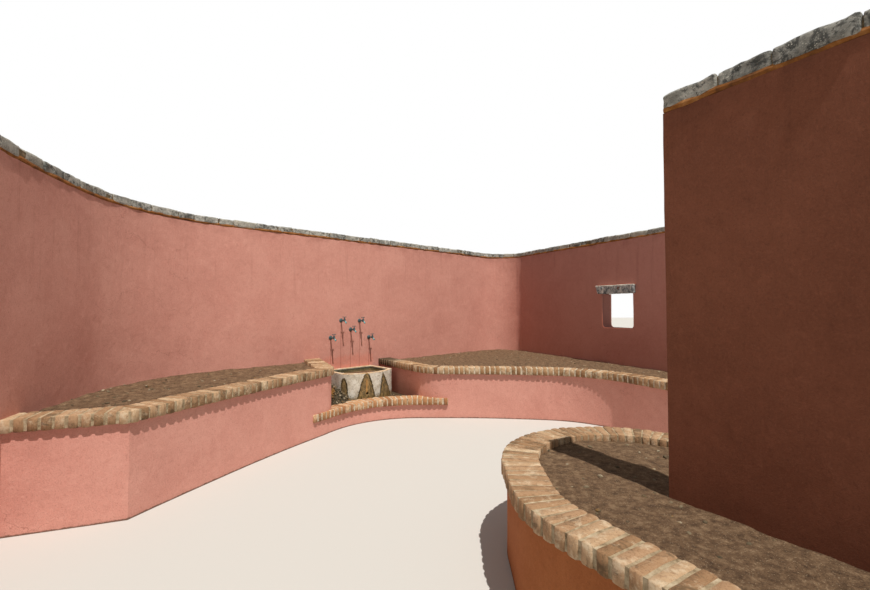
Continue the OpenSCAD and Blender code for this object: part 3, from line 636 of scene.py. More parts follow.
def verdigris_bronze():
    """Dark blue-grey bronze, with a turquoise bloom that is brightest on the spouts, where water runs."""
    f = Finish("verdigris_bronze", roughness=0.6, metallic=0.25, specular=0.5)
    y = f.on_wall(fountain)[1]
    bloom = f.noise(85.0, 6.0, 0.75)
    f.colour = rgb(54, 60, 62)
    f.patch(rgb(82, 112, 116), bloom, 0.42, 0.60)
    f.patch(rgb(120, 156, 156), f.noise(190.0, 5.0, 0.7), 0.55, 0.68, 0.8)
    spout = f.band(f.plus(y, f.times(f.minus(bloom, 0.5), 0.03)), -0.126, -0.142)
    f.coat(rgb(112, 190, 194), f.times(spout, f.band(bloom, 0.34, 0.48, 1.0, 0.4)))
    return f.finish(f.bump(f.noise(240.0, 5.0, 0.7), 0.0012, 0.9), f.band(bloom, 0.40, 0.60, 0.85, 0.45))


def still_water():
    f = Finish("still_water", roughness=0.22, specular=0.15)
    f.ground(f.noise(9.0, 5.0, 0.7), (0.35, rgb(44, 42, 28)), (0.52, rgb(86, 74, 46)), (0.68, rgb(122, 98, 58)))
    return f.finish(f.bump(f.noise(9.0, 3.0), 0.004, 0.35))


PINK = pink_render()
BROWN_WITH_PAINTED_SHADE = brown_render()
TERRACOTTA_WITH_PAINTED_SHADE = terracotta_render()
LIMESTONE = limestone()
OCHRE = ochre_mortar()
PALE_JOINT = joint_mortar("pale_joint", rgb(146, 127, 99), rgb(194, 178, 152), rgb(224, 213, 194))
AGED_JOINT = joint_mortar("aged_joint", rgb(112, 93, 68), rgb(166, 147, 118), rgb(198, 181, 153))
COPING_JOINT = joint_mortar("coping_joint", rgb(66, 56, 42), rgb(112, 96, 72), rgb(158, 140, 112))
CLAY_BRICK = brick("clay_brick", (rgb(156, 106, 70), rgb(176, 126, 86), rgb(185, 136, 94), rgb(196, 152, 112)),
                   0.55, 0.34)
PALE_BRICK = brick("pale_brick", (rgb(140, 103, 72), rgb(160, 124, 88), rgb(170, 134, 98), rgb(184, 152, 118)),
                   0.55, 0.60, soot_at=ahead(right_side_foot, 0.12)[:2] + (0.66,))
AGED_BRICK = brick("aged_brick", (rgb(148, 114, 82), rgb(166, 131, 98), rgb(175, 140, 107), rgb(187, 156, 122)),
                   0.50, 0.66)
SOIL = soil("soil", 0.0)
# the niche's soil: darker, partly damp and partly painted shade of the niche
DAMP_SHADED_SOIL = soil("damp_shaded_soil", 0.62)
RUBBLE = rubble_stone("rubble_stone", 0.2)
MOSSY_RUBBLE = rubble_stone("mossy_rubble", 0.9)
BASIN = basin_stone()
LINTEL = lintel_stone()
BRONZE = verdigris_bronze()
WATER = still_water()


# Making pieces

def put(name, data):
    thing = bpy.data.objects.new(name, data)
    bpy.context.scene.collection.objects.link(thing)
    return thing


def new_piece(name, mesh, slot, *nodes):
    """A piece of the garden wall's body, which may stand for CAD nodes."""
    piece = put(name, mesh)
    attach(piece, "garden_wall")
    if nodes:
        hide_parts(*nodes)
    return piece


def only_material(mesh, material):
    mesh.materials.clear()
    mesh.materials.append(material)
    for polygon in mesh.polygons:
        polygon.material_index = 0
    return mesh


def smooth(mesh):
    for polygon in mesh.polygons:
        polygon.use_smooth = True
    return mesh


def baked(carrier):
    """The mesh that a carrier's modifiers give, without the carrier."""
    mesh = bpy.data.meshes.new_from_object(carrier.evaluated_get(bpy.context.evaluated_depsgraph_get()))
    bpy.data.objects.remove(carrier)
    return mesh


def mesh_from(name, bm, material=None):
    mesh = bpy.data.meshes.new(name)
    bm.to_mesh(mesh)
    bm.free()
    if material is not None:
        mesh.materials.append(material)
    return mesh


def slice_through(bm, point, normal, **settings):
    everything = list(bm.verts) + list(bm.edges) + list(bm.faces)
    return bmesh.ops.bisect_plane(bm, geom=everything, plane_co=point, plane_no=normal, **settings)


def slice_across(bm, axis, at):
    normal = Vector([1.0 if a == axis else 0.0 for a in range(3)])
    slice_through(bm, normal * at, normal)


def skin(bm, rings, ends=True):
    """Faces between neighbouring rings of points, and over the first and last ring unless told otherwise."""
    for a, b in zip(rings, rings[1:]):
        for j in range(len(a)):
            k = (j + 1) % len(a)
            bm.faces.new((a[j], a[k], b[k], b[j]))
    if ends:
        bm.faces.new(rings[0])
        bm.faces.new(list(reversed(rings[-1])))
        bmesh.ops.recalc_face_normals(bm, faces=bm.faces)


def settled(name, mesh):
    """The same mesh with its points and faces in order of place, so that each run makes it alike."""
    order = sorted(range(len(mesh.vertices)), key=lambda i: tuple(round(c, 6) for c in mesh.vertices[i].co))
    rank = {old: new for new, old in enumerate(order)}
    faces = []
    for polygon in mesh.polygons:
        corners = [rank[i] for i in polygon.vertices]
        first = corners.index(min(corners))
        faces.append(corners[first:] + corners[:first])
    result = bpy.data.meshes.new(name)
    result.from_pydata([mesh.vertices[i].co.copy() for i in order], [], sorted(faces))
    for material in mesh.materials:
        result.materials.append(material)
    bpy.data.meshes.remove(mesh)
    return result


def swept(name, line, profile, material, step=0.04, wobble=0.0):
    """A closed profile carried along a line: points are (distance to the left, height)."""
    bm = bmesh.new()
    count = max(2, math.ceil(length_of(line) / step))
    rings = []
    for i in range(count + 1):
        station = station_on(line, length_of(line) * i / count)
        ring = []
        for left, height in profile:
            x, y, _ = beside(station, left)
            point = Vector((x, y, height))
            point += noise.noise_vector(point * 9.0) * wobble
            ring.append(bm.verts.new(point))
        rings.append(ring)
    skin(bm, rings)
    return mesh_from(name, bm, material)


def joined(name, *meshes):
    bm = bmesh.new()
    for mesh in meshes:
        bm.from_mesh(mesh)
    material = meshes[0].materials[0]
    for mesh in meshes:
        bpy.data.meshes.remove(mesh)
    return mesh_from(name, bm, material)


def worn_block(name, size, edge, cuts):
    """A block with rounded edges, divided evenly enough to be roughened."""
    bm = bmesh.new()
    bmesh.ops.create_cube(bm, size=1.0)
    bmesh.ops.scale(bm, vec=Vector(size), verts=bm.verts)
    bmesh.ops.bevel(bm, geom=list(bm.edges), offset=edge, segments=2, profile=0.6, affect="EDGES")
    for axis, number in enumerate(cuts):
        for i in range(1, number):
            slice_across(bm, axis, size[axis] * (i / number - 0.5))
    return bpy.data.objects.new(name, settled(name, mesh_from(name, bm)))


def laying_tree():
    """Sets a unit on each mark, at the mark's own size and turn, and roughens each one in its own way."""
    tree = bpy.data.node_groups.new("laid_units", "GeometryNodeTree")
    face = tree.interface
    face.new_socket("Marks", in_out="INPUT", socket_type="NodeSocketGeometry")
    for name, kind, value in (("Unit", "Object", None), ("Coarse Wear", "Float", 0.004),
                              ("Coarse Scale", "Float", 9.0), ("Fine Wear", "Float", 0.002),
                              ("Fine Scale", "Float", 45.0), ("Material", "Material", None)):
        socket = face.new_socket(name, in_out="INPUT", socket_type="NodeSocket" + kind)
        if value is not None:
            socket.default_value = value
    face.new_socket("Units", in_out="OUTPUT", socket_type="NodeSocketGeometry")

    def add(kind, inputs=None, **settings):
        return add_node(tree, kind, inputs, **settings)

    def named(name, kind):
        return add("GeometryNodeInputNamedAttribute", {"Name": name}, data_type=kind).outputs["Attribute"]

    def vectors(operation, inputs):
        return add("ShaderNodeVectorMath", inputs, operation=operation).outputs[0]

    def wear(tone, scale, amount):
        position = add("GeometryNodeInputPosition").outputs[0]
        spot = vectors("ADD", {0: position, 1: vectors("MULTIPLY", {0: tone, 1: (37.0, 71.0, 19.0)})})
        cloud = add("ShaderNodeTexNoise", {"Vector": spot, "Scale": scale, "Detail": 3.0}).outputs["Color"]
        centred = vectors("SUBTRACT", {0: cloud, 1: (0.5, 0.5, 0.5)})
        return vectors("SCALE", {0: centred, "Scale": amount})

    inputs = add("NodeGroupInput").outputs
    unit = add("GeometryNodeObjectInfo", {"Object": inputs["Unit"]}).outputs["Geometry"]
    units = add("GeometryNodeInstanceOnPoints", {
        "Points": inputs["Marks"], "Instance": unit, "Rotation": named("turn", "FLOAT_VECTOR"),
        "Scale": named("size", "FLOAT_VECTOR")}).outputs[0]
    tone = named("tone", "FLOAT")
    units = add("GeometryNodeStoreNamedAttribute", {"Geometry": units, "Name": "tone", "Value": tone},
                data_type="FLOAT", domain="INSTANCE").outputs[0]
    units = add("GeometryNodeRealizeInstances", {"Geometry": units}).outputs[0]
    for size in ("Coarse", "Fine"):
        units = add("GeometryNodeSetPosition", {"Geometry": units, "Offset": wear(
            tone, inputs[size + " Scale"], inputs[size + " Wear"])}).outputs[0]
    units = add("GeometryNodeSetShadeSmooth", {"Geometry": units}).outputs[0]
    units = add("GeometryNodeSetMaterial", {"Geometry": units, "Material": inputs["Material"]}).outputs[0]
    add("NodeGroupOutput", {0: units})
    return tree


LAYING = laying_tree()


def laid_units(name, marks, unit, material, coarse=0.004, fine=0.002, coarse_scale=9.0, fine_scale=45.0):
    """A mesh of units, one on each mark: (place, turn, size, tone)."""
    mesh = bpy.data.meshes.new(name)
    mesh.from_pydata([mark[0] for mark in marks], [], [])
    for column, key, kind, field in ((1, "turn", "FLOAT_VECTOR", "vector"),
                                     (2, "size", "FLOAT_VECTOR", "vector"), (3, "tone", "FLOAT", "value")):
        layer = mesh.attributes.new(key, kind, "POINT")
        for item, mark in zip(layer.data, marks):
            setattr(item, field, mark[column])
    carrier = put(name, mesh)
    modifier = carrier.modifiers.new("laying", "NODES")
    modifier.node_group = LAYING
    settings = {"Unit": unit, "Coarse Wear": coarse, "Coarse Scale": coarse_scale, "Fine Wear": fine,
                "Fine Scale": fine_scale, "Material": material}
    for item in LAYING.interface.items_tree:
        if item.name in settings:
            modifier[item.identifier] = settings[item.name]
    return only_material(baked(carrier), material)


def bent_along(mesh, line):
    """Carries a mesh made along +X, with y to the left, onto a line."""
    for vertex in mesh.vertices:
        x, y, _ = beside(station_on(line, vertex.co.x), vertex.co.y)
        vertex.co.x, vertex.co.y = x, y
    mesh.update()
    return mesh


def cut_at(mesh, corner, keep):
    """Cuts a mesh at the upright mitre plane through a corner and closes the cut; keep is the kept side."""
    bm = bmesh.new()
    bm.from_mesh(mesh)
    normal = Vector((*heading(corner), 0)) * keep
    cut = slice_through(bm, (corner[0], corner[1], 0), normal, clear_inner=True)
    edges = [item for item in cut["geom_cut"] if isinstance(item, bmesh.types.BMEdge)]
    bmesh.ops.holes_fill(bm, edges=edges)
    bm.to_mesh(mesh)
    bm.free()
    return mesh


# Brick caps

BRICK_PITCH = 0.0725
BRICK_JOINT = 0.012
BRICK_SIZE = (BRICK_PITCH - BRICK_JOINT, PLANTER_T + CAP_OUT, CAP_H)
INTO_WALL = 0.09
MITRE_LAP = 0.16
CORNER_REACH = CAP_OUT - 0.003
CORNER_PAST = PLANTER_T + 0.004


def brick_block(name, size, round_end, edge):
    """A brick on edge, worn round at the upright edges of its two ends, in a few dozen faces."""
    wide, deep = size[0] / 2, size[1] / 2
    third = (deep - round_end) / 1.5
    soft = round_end * 0.35
    quarter = [(wide, 0.5 * third), (wide, deep - round_end), (wide - soft, deep - soft),
               (wide - round_end, deep)]
    outline_up = quarter + [(-x, y) for x, y in reversed(quarter)]
    ring = outline_up + [(-x, -y) for x, y in outline_up]
    bm = bmesh.new()
    levels = []
    for z, inset in ((-size[2] / 2, edge), (edge - size[2] / 2, 0.0), (size[2] / 2 - edge, 0.0),
                     (size[2] / 2, edge)):
        levels.append([bm.verts.new((x * (1 - inset / wide), y * (1 - inset / deep), z)) for x, y in ring])
    skin(bm, levels, ends=False)
    for level in (levels[0], levels[-1]):
        for face in ((1, 2, 3, 4, 5, 6), (0, 1, 6, 7), (15, 0, 7, 8), (14, 15, 8, 9), (9, 10, 11, 12, 13, 14)):
            bm.faces.new([level[i] for i in face])
    bmesh.ops.recalc_face_normals(bm, faces=bm.faces)
    return bpy.data.objects.new(name, mesh_from(name, bm))


brick_unit = brick_block("brick_unit", BRICK_SIZE, round_end=0.012, edge=0.005)


def brick_course(name, line, top, material, before=0.0, after=0.0, first=0.0):
    """Bricks laid across a planter's wall, side by side along its line, from a first distance on."""
    low, high = first - before, length_of(line) + after
    count = round((high - low) / BRICK_PITCH)
    pitch = (high - low) / count
    marks = []
    for i in range(count):
        width = (pitch - BRICK_JOINT + chance.uniform(-0.003, 0.003)) / BRICK_SIZE[0]
        deep = chance.uniform(0.965, 0.990)
        place = (low + (i + 0.5) * pitch, (PLANTER_T - CAP_OUT) / 2 + chance.uniform(-0.001, 0.003),
                 top - CAP_H / 2 - chance.uniform(0.001, 0.004))
        turn = (chance.uniform(-0.010, 0.010), chance.uniform(-0.014, 0.014), chance.uniform(-0.014, 0.014))
        marks.append((place, turn, (width, deep, chance.uniform(0.955, 0.985)), chance.random()))
    mesh = laid_units(name, marks, brick_unit, material, coarse=0.005, fine=0.005, coarse_scale=10.0,
                      fine_scale=38.0)
    return bent_along(mesh, line)


def joint_core(name, line, top, material, inset=0.010):
    """The mortar that shows, raked back, between the bricks of a cap."""
    low, high = top - CAP_H + 0.006, top - 0.0075
    profile = [(-CAP_OUT + inset, low), (PLANTER_T / 2, low), (PLANTER_T - inset, low),
               (PLANTER_T - inset, (low + high) / 2), (PLANTER_T - inset, high), (PLANTER_T / 2, high),
               (-CAP_OUT + inset, high), (-CAP_OUT + inset, (low + high) / 2)]
    return swept(name, line, profile, material, step=0.02, wobble=0.003)


def cap(name, node, bricks, cores):
    """The bricks and the joints of one planter's cap, whose solid is the node."""
    new_piece(name + "_bricks", bricks, "brick", node)
    new_piece(name + "_joints", cores, "ochre_mortar")


def plain_cap(name, node, line, end_line, top, material, mortar, names):
    """A cap that goes all along a planter, and past the corner at its end."""
    side, far = names
    longer = line[:-1] + [straight(line[-1]["start"], line[-1]["length"] + CORNER_REACH)]
    bricks = joined(name + "_bricks", brick_course(side, longer, top, material, INTO_WALL),
                    brick_course(far, end_line, top, material, 0.0, INTO_WALL, CORNER_PAST))
    cap(name, node, bricks, joined(name + "_joints", joint_core(name, line, top, mortar),
                                   joint_core(far, end_line, top, mortar)))


left_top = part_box("left_planter_cap")[1][2]
right_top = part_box("right_planter_cap")[1][2]
curb_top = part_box("curb_cap")[1][2]
inner_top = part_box("inner_planter_cap")[1][2]


def mitred_cap():
    """The left planter's cap, whose two lengths meet at a mitre."""
    mitre = (left_end_corner[0], left_end_corner[1], (left_end_corner[2] + left_lead_start[2]) / 2)
    lap_line = [straight(ahead(left_lead_start, -MITRE_LAP), MITRE_LAP)] + left_front_line
    longer = [straight(left_end_line[0]["start"], LEFT_END_RUN + MITRE_LAP)]
    end_bricks = brick_course("end_bricks", left_end_line, left_top, AGED_BRICK, INTO_WALL, MITRE_LAP)
    front_bricks = brick_course("front_bricks", lap_line, left_top, AGED_BRICK, 0.0, INTO_WALL)
    end_core = joint_core("end_core", longer, left_top, AGED_JOINT)
    front_core = joint_core("front_core", lap_line, left_top, AGED_JOINT)
    bricks, cores = (joined(name, cut_at(end, mitre, -1), cut_at(front, mitre, 1)) for name, end, front in (
        ("left_planter_bricks", end_bricks, front_bricks), ("left_planter_joints", end_core, front_core)))
    cap("left_planter", "left_planter_cap", bricks, cores)


mitred_cap()
plain_cap("right_planter", "right_planter_cap", right_line, right_end_line, right_top, PALE_BRICK, PALE_JOINT,
          ("side_bricks", "far_bricks"))
cap("curb", "curb_cap", brick_course("curb_bricks", curb_line, curb_top, CLAY_BRICK, 0.02),
    joint_core("curb_joints", curb_line, curb_top, PALE_JOINT))
plain_cap("inner_planter", "inner_planter_cap", inner_round_line, inner_end_line, inner_top, AGED_BRICK,
          AGED_JOINT, ("round_bricks", "inner_end_bricks"))


# Coping stones

coping_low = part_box("back_coping")[0][2]
coping_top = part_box("back_coping")[1][2]
COPING_DROP = 0.011  # how far the slabs reach down over the mortar bed
STONE_SIZE = (0.30, WALL_T + 2 * COPING_OUT, coping_top - coping_low + COPING_DROP)
STONE_RUN, LAST_STONE, STONE_JOINT = (0.17, 0.34), 0.38, 0.005
stone_unit = worn_block("stone_unit", STONE_SIZE, edge=0.014, cuts=(7, 6, 3))


def coping_course(name, line):
    """Slabs of uneven length along the top of a wall, each a little out of line with the next."""
    reach = length_of(line)
    cuts = [0.0]
    while cuts[-1] < reach - LAST_STONE:
        cuts.append(cuts[-1] + chance.uniform(*STONE_RUN))
    cuts.append(reach)
    marks = []
    for low, high in zip(cuts, cuts[1:]):
        thick = chance.uniform(0.85, 0.95)
        place = ((low + high) / 2, WALL_T / 2 + chance.uniform(-0.004, 0.004),
                 coping_low - COPING_DROP + STONE_SIZE[2] * thick / 2)
        size = ((high - low - STONE_JOINT) / STONE_SIZE[0], chance.uniform(0.88, 0.94), thick)
        turn = (chance.uniform(-0.02, 0.02), chance.uniform(-0.018, 0.018), chance.uniform(-0.02, 0.02))
        marks.append((place, turn, size, chance.random()))
    mesh = laid_units(name, marks, stone_unit, LIMESTONE, coarse=0.030, fine=0.013, coarse_scale=7.0,
                      fine_scale=30.0)
    for vertex in mesh.vertices:
        vertex.co.z = min(vertex.co.z, coping_top - 0.0005)
    return bent_along(mesh, line)


def coping_core(name, line):
    """The old mortar between the slabs."""
    inset, high = 0.020, coping_top - 0.022
    profile = [(-COPING_OUT + inset, coping_low), (WALL_T + COPING_OUT - inset, coping_low),
               (WALL_T + COPING_OUT - inset, high), (-COPING_OUT + inset, high)]
    return swept(name, line, profile, COPING_JOINT, step=0.04, wobble=0.008)


def mortar_bed(name, line, *nodes):
    """The ochre mortar under a coping, squeezed out unevenly on both faces."""
    low, high = coping_low - BED_T, coping_low + 0.006
    front, back = 0.008 - COPING_OUT, WALL_T + COPING_OUT - 0.008
    profile = [(front + 0.005, low), (WALL_T / 2, low), (back - 0.005, low), (back, (low + high) / 2),
               (back - 0.006, high), (WALL_T / 2, high), (front + 0.006, high), (front, (low + high) / 2)]
    mesh = swept(name, line, profile, OCHRE, step=0.022, wobble=0.007)
    return new_piece(name, mesh, "ochre_mortar", *nodes)


mortar_bed("mortar_bed", main_line, "left_mortar_bed", "back_mortar_bed", "right_mortar_bed")
mortar_bed("inner_bed_mortar", inner_line, "inner_mortar_bed")
new_piece("coping_stones", coping_course("coping_stones", main_line), "limestone",
          "left_coping", "back_coping", "right_coping")
new_piece("coping_joints", coping_core("coping_joints", main_line), "ochre_mortar")
new_piece("inner_coping_stones", coping_course("inner_coping_stones", inner_line), "limestone",
          "inner_coping")
new_piece("inner_coping_joints", coping_core("inner_coping_joints", inner_line), "ochre_mortar")


# Pieces made from a copy of a solid, with its edges worn

def worn_copy(name, node, material, slot, grain, wear, scale, reshape=None):
    """A solid's copy, remeshed at a grain and worn by a smooth unevenness."""
    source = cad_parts[node]
    bm = bmesh.new()
    bm.from_mesh(source.data)
    bmesh.ops.remove_doubles(bm, verts=bm.verts, dist=0.0001)
    carrier = put(name, mesh_from(name, bm))
    remesh = carrier.modifiers.new("remesh", "REMESH")
    remesh.mode = "VOXEL"
    remesh.voxel_size = grain
    remesh.use_smooth_shade = True
    soften = carrier.modifiers.new("soften", "SMOOTH")
    soften.iterations = 3
    soften.factor = 0.5
    mesh = baked(carrier)
    outwards = [vertex.normal.copy() for vertex in mesh.vertices]
    for vertex, normal in zip(mesh.vertices, outwards):
        uneven = noise.noise(vertex.co * scale) + 0.5 * noise.noise(vertex.co * scale * 3.1)
        vertex.co += normal * (uneven - 0.9) * wear
        if reshape is not None:
            reshape(vertex)
        vertex.co.z = max(vertex.co.z, 0.0)
    return new_piece(name, smooth(only_material(mesh, material)), slot, node)


CORNER_WEAR_R = 0.20


def round_basin_corner(vertex):
    """Draws a point of the basin towards the bow's centre where the left front corner is worn round."""
    along_x, along_y = heading(bow_middle)
    from_x, from_y = vertex.co.x - bow_middle[0], vertex.co.y - bow_middle[1]
    across, out = from_x * along_x + from_y * along_y, from_x * along_y - from_y * along_x
    heart_across = CORNER_WEAR_R - BASIN_W / 2
    heart_out = math.sqrt((BOW_R - CORNER_WEAR_R) ** 2 - heart_across ** 2)
    if out <= 0 or across >= 0 or not -BASIN_W / 2 / heart_out < across / out < heart_across / heart_out:
        return
    reach = math.hypot(across, out)
    x, y = across / reach, out / reach
    sharp = min(BOW_R, BASIN_W / 2 / -x)
    near = x * heart_across + y * heart_out
    worn = near + math.sqrt(near ** 2 + CORNER_WEAR_R ** 2 - heart_across ** 2 - heart_out ** 2)
    pull = reach * (worn / sharp - 1)
    vertex.co.x += pull * (x * along_x + y * along_y)
    vertex.co.y += pull * (x * along_y - y * along_x)


worn_copy("worn_basin", "basin", BASIN, "basin_stone", grain=0.0075, wear=0.0022, scale=14.0,
          reshape=round_basin_corner)
worn_copy("worn_lintel", "window_lintel", LINTEL, "lintel_stone", grain=0.007, wear=0.0045, scale=11.0)


# Walls: copies of the solids, joined across their seams and floated by hand

SEAM = 0.0012
SEAM_CELL = 0.002


def seam_faces(bm, parts):
    """The end faces that two lengths of wall turn to each other."""
    part_of = {vertex: index for index, part in enumerate(parts) for vertex in part}
    grid = {}
    for vertex in bm.verts:
        grid.setdefault(tuple(round(c / SEAM_CELL) for c in vertex.co), []).append(vertex)
    seam_of = {vertex: set() for vertex in bm.verts}
    for vertex in bm.verts:
        x, y, z = (round(c / SEAM_CELL) for c in vertex.co)
        for dx, dy, dz in itertools.product((-1, 0, 1), repeat=3):
            for other in grid.get((x + dx, y + dy, z + dz), ()):
                if part_of[other] != part_of[vertex] and (other.co - vertex.co).length < SEAM:
                    seam_of[vertex].add(part_of[other])
    return [face for face in bm.faces if set.intersection(*(seam_of[vertex] for vertex in face.verts))]


def connected(bm):
    """The vertices of each separate solid."""
    left, parts = set(bm.verts), []
    while left:
        todo, part = [left.pop()], []
        while todo:
            vertex = todo.pop()
            part.append(vertex)
            for edge in vertex.link_edges:
                other = edge.other_vert(vertex)
                if other in left:
                    left.remove(other)
                    todo.append(other)
        parts.append(part)
    return parts


NOSE_MERGE = 0.114


def run_into_nose(vertex):
    """Carries the curb's end on, into the right planter's front, so that the render runs on unbroken."""
    across = vertex.co.y - nose_finish[1]
    if vertex.co.x > nose_finish[0] - NOSE_MERGE - 0.002 and abs(across) < 0.02:
        vertex.co.x += NOSE_MERGE


WAVES = ((1.7, 0.0045), (6.0, 0.0020))  # how close together, and how deep
RIM = 0.0005
ARRIS = math.radians(40)


def floated_wall(name, material, slot, *nodes, cell=0.09, reshape=None):
    """One skin for lengths of wall that meet, with the low waves that a float leaves."""
    bm = bmesh.new()
    for node in nodes:
        bm.from_mesh(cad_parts[node].data)
    bmesh.ops.remove_doubles(bm, verts=bm.verts, dist=0.00005)
    bmesh.ops.delete(bm, geom=seam_faces(bm, connected(bm)), context="FACES")
    bmesh.ops.remove_doubles(bm, verts=bm.verts, dist=SEAM)
    low = [min(vertex.co[axis] for vertex in bm.verts) for axis in range(3)]
    high = [max(vertex.co[axis] for vertex in bm.verts) for axis in range(3)]
    for axis in range(3):
        for i in range(1, math.ceil((high[axis] - low[axis]) / cell)):
            slice_across(bm, axis, low[axis] + i * cell)
    bmesh.ops.dissolve_degenerate(bm, dist=0.0002, edges=bm.edges)
    for edge in bm.edges:
        at_rim = all(min(vertex.co.z - low[2], high[2] - vertex.co.z) < RIM for vertex in edge.verts)
        edge.smooth = not at_rim and edge.calc_face_angle(0.0) < ARRIS
    for vertex in bm.verts:
        if reshape is not None:
            reshape(vertex)
        wave = sum((noise.noise_vector(vertex.co * close) * deep for close, deep in WAVES), Vector())
        vertex.co += Vector((wave.x, wave.y, 0))
    return new_piece(name, smooth(mesh_from(name, bm, material)), slot, *nodes)


floated_wall("tall_wall", PINK, "pink_render", "left_end_wall", "left_curve_wall", "fountain_wall",
             "back_wall", "corner_wall", "right_wall", "window_wall", "right_end_wall")
floated_wall("left_planter_walls", PINK, "pink_render", "left_planter_end_wall", "left_planter_front_wall",
             "left_planter_side_wall")
floated_wall("right_planter_walls", PINK, "pink_render", "right_planter_side_wall", "right_planter_front_wall",
             "right_planter_far_wall", "right_planter_end_wall")
floated_wall("curb_walls", PINK, "pink_render", "curb_wall", reshape=run_into_nose)
floated_wall("near_wall", BROWN_WITH_PAINTED_SHADE, "brown_render", "inner_wall")
floated_wall("near_planter_walls", TERRACOTTA_WITH_PAINTED_SHADE, "brown_render", "inner_planter_wall")


# Soil, rubble and water

def outline(*stretches):
    return [Vector((x, y, 0)) for stretch in stretches for x, y, _ in stretch]


def along(line, left, step=0.08, low=0.0, high=None):
    """Stations a distance to the left of a line."""
    high = length_of(line) if high is None else high
    count = max(1, math.ceil((high - low) / step))
    return [beside(station_on(line, low + (high - low) * i / count), left) for i in range(count + 1)]


def is_inside(point, corners):
    inside = False
    for a, b in zip(corners, corners[1:] + corners[:1]):
        if (a.y > point.y) != (b.y > point.y):
            if point.x < (b.x - a.x) * (point.y - a.y) / (b.y - a.y) + a.x:
                inside = not inside
    return inside


def spread(corners):
    """The lowest and the highest corner of the box round a bed."""
    return [Vector([pick(c[i] for c in corners) for i in range(2)]) for pick in (min, max)]


def earth(name, corners, height, underside, material, rise=0.022, step=0.03):
    """A lumpy layer of earth over a bed, which reaches a little into the walls round it."""
    low, high = spread(corners)
    across, deep = (math.ceil((high[i] - low[i]) / step) for i in range(2))
    bm = bmesh.new()
    grid = {}

    def corner(i, j):
        if (i, j) not in grid:
            x, y = low.x + i * step, low.y + j * step
            lump = noise.fractal(Vector((x * 5, y * 5, 0.7)), 0.8, 2.1, 5)
            grid[i, j] = bm.verts.new((x, y, height(x, y) + rise * (0.55 + 0.45 * lump)))
        return grid[i, j]

    for i in range(across):
        for j in range(deep):
            middle = Vector((low.x + (i + 0.5) * step, low.y + (j + 0.5) * step, 0))
            if is_inside(middle, corners):
                bm.faces.new((corner(i, j), corner(i + 1, j), corner(i + 1, j + 1), corner(i, j + 1)))
    lower = bmesh.ops.extrude_face_region(bm, geom=list(bm.faces))
    for item in lower["geom"]:
        if isinstance(item, bmesh.types.BMVert):
            item.co.z = underside
    bmesh.ops.recalc_face_normals(bm, faces=bm.faces)
    return new_piece(name, smooth(settled(name, mesh_from(name, bm, material))), "soil")


def pebble(name, seed, squash):
    bm = bmesh.new()
    bmesh.ops.create_icosphere(bm, subdivisions=1, radius=0.5)
    bmesh.ops.bevel(bm, geom=list(bm.verts), offset=0.12, segments=1, affect="VERTICES")
    for vertex in bm.verts:
        vertex.co *= 1.0 + 0.35 * noise.noise(vertex.co * 1.9 + Vector((seed, seed, seed)))
        vertex.co.z *= squash
    return bpy.data.objects.new(name, mesh_from(name, bm))


# A kind of stones: their sizes, how far they lean, width, height and rise above the ground in parts of a
# stone's size, and the wear and its scales, coarse and fine
Stones = collections.namedtuple("Stones", "sizes lean wide high rise wear")
GRAVELLY = Stones((0.012, 0.045), 0.4, (0.6, 1.0), (0.6, 0.9), 0.3, (0.006, 0.002, 25.0, 80.0))
RUBBLY = Stones((0.015, 0.050), 0.4, (0.6, 1.0), (0.6, 0.9), 0.1, (0.006, 0.002, 25.0, 80.0))
HEAPED = Stones((0.022, 0.075), 0.8, (0.5, 0.9), (0.4, 0.8), 0.2, (0.010, 0.003, 22.0, 80.0))


def scattered(name, kind, count, bed, drop, height, material):
    """Stones of a kind over a bed, each where the drop puts it, at the height of the ground there."""
    marks = []
    while len(marks) < count:
        spot = drop()
        if not is_inside(spot, bed):
            continue
        size = chance.uniform(*kind.sizes) * chance.uniform(0.6, 1.0)
        turn = (chance.uniform(-kind.lean, kind.lean), chance.uniform(-kind.lean, kind.lean),
                chance.uniform(0, 6.28))
        wide = (size, size * chance.uniform(*kind.wide), size * chance.uniform(*kind.high))
        marks.append(((spot.x, spot.y, height(spot.x, spot.y) + size * kind.rise), turn, wide, chance.random()))
    return new_piece(name, laid_units(name, marks, pebble_unit, material, *kind.wear), "soil")


def anywhere_over(bed):
    low, high = spread(bed)
    return lambda: Vector((chance.uniform(low.x, high.x), chance.uniform(low.y, high.y), 0))


def nearest_on(line, point):
    """The distance along a line at which it passes nearest to a point."""
    reach = length_of(line)
    steps = math.ceil(reach / 0.01)
    spots = [reach * i / steps for i in range(steps + 1)]
    return min(spots, key=lambda d: math.hypot(station_on(line, d)[0] - point[0],
                                               station_on(line, d)[1] - point[1]))


UNDER = 0.05
IN_PLANTER_WALL = PLANTER_T - UNDER
fountain_at = nearest_on(main_line, fountain)
left_foot_at = fountain_at - NICHE_W / 2
right_foot_at = fountain_at + NICHE_W / 2
end_foot_at = nearest_on(main_line, left_end_line[0]["start"])
far_foot_at = nearest_on(main_line, ahead(right_end_line[0]["start"], RIGHT_END_RUN))
inner_foot_at = nearest_on(inner_line, ahead(inner_end_line[0]["start"], INNER_END_RUN))
corner_past = LEFT_LEAD + left_front_line[1]["length"]

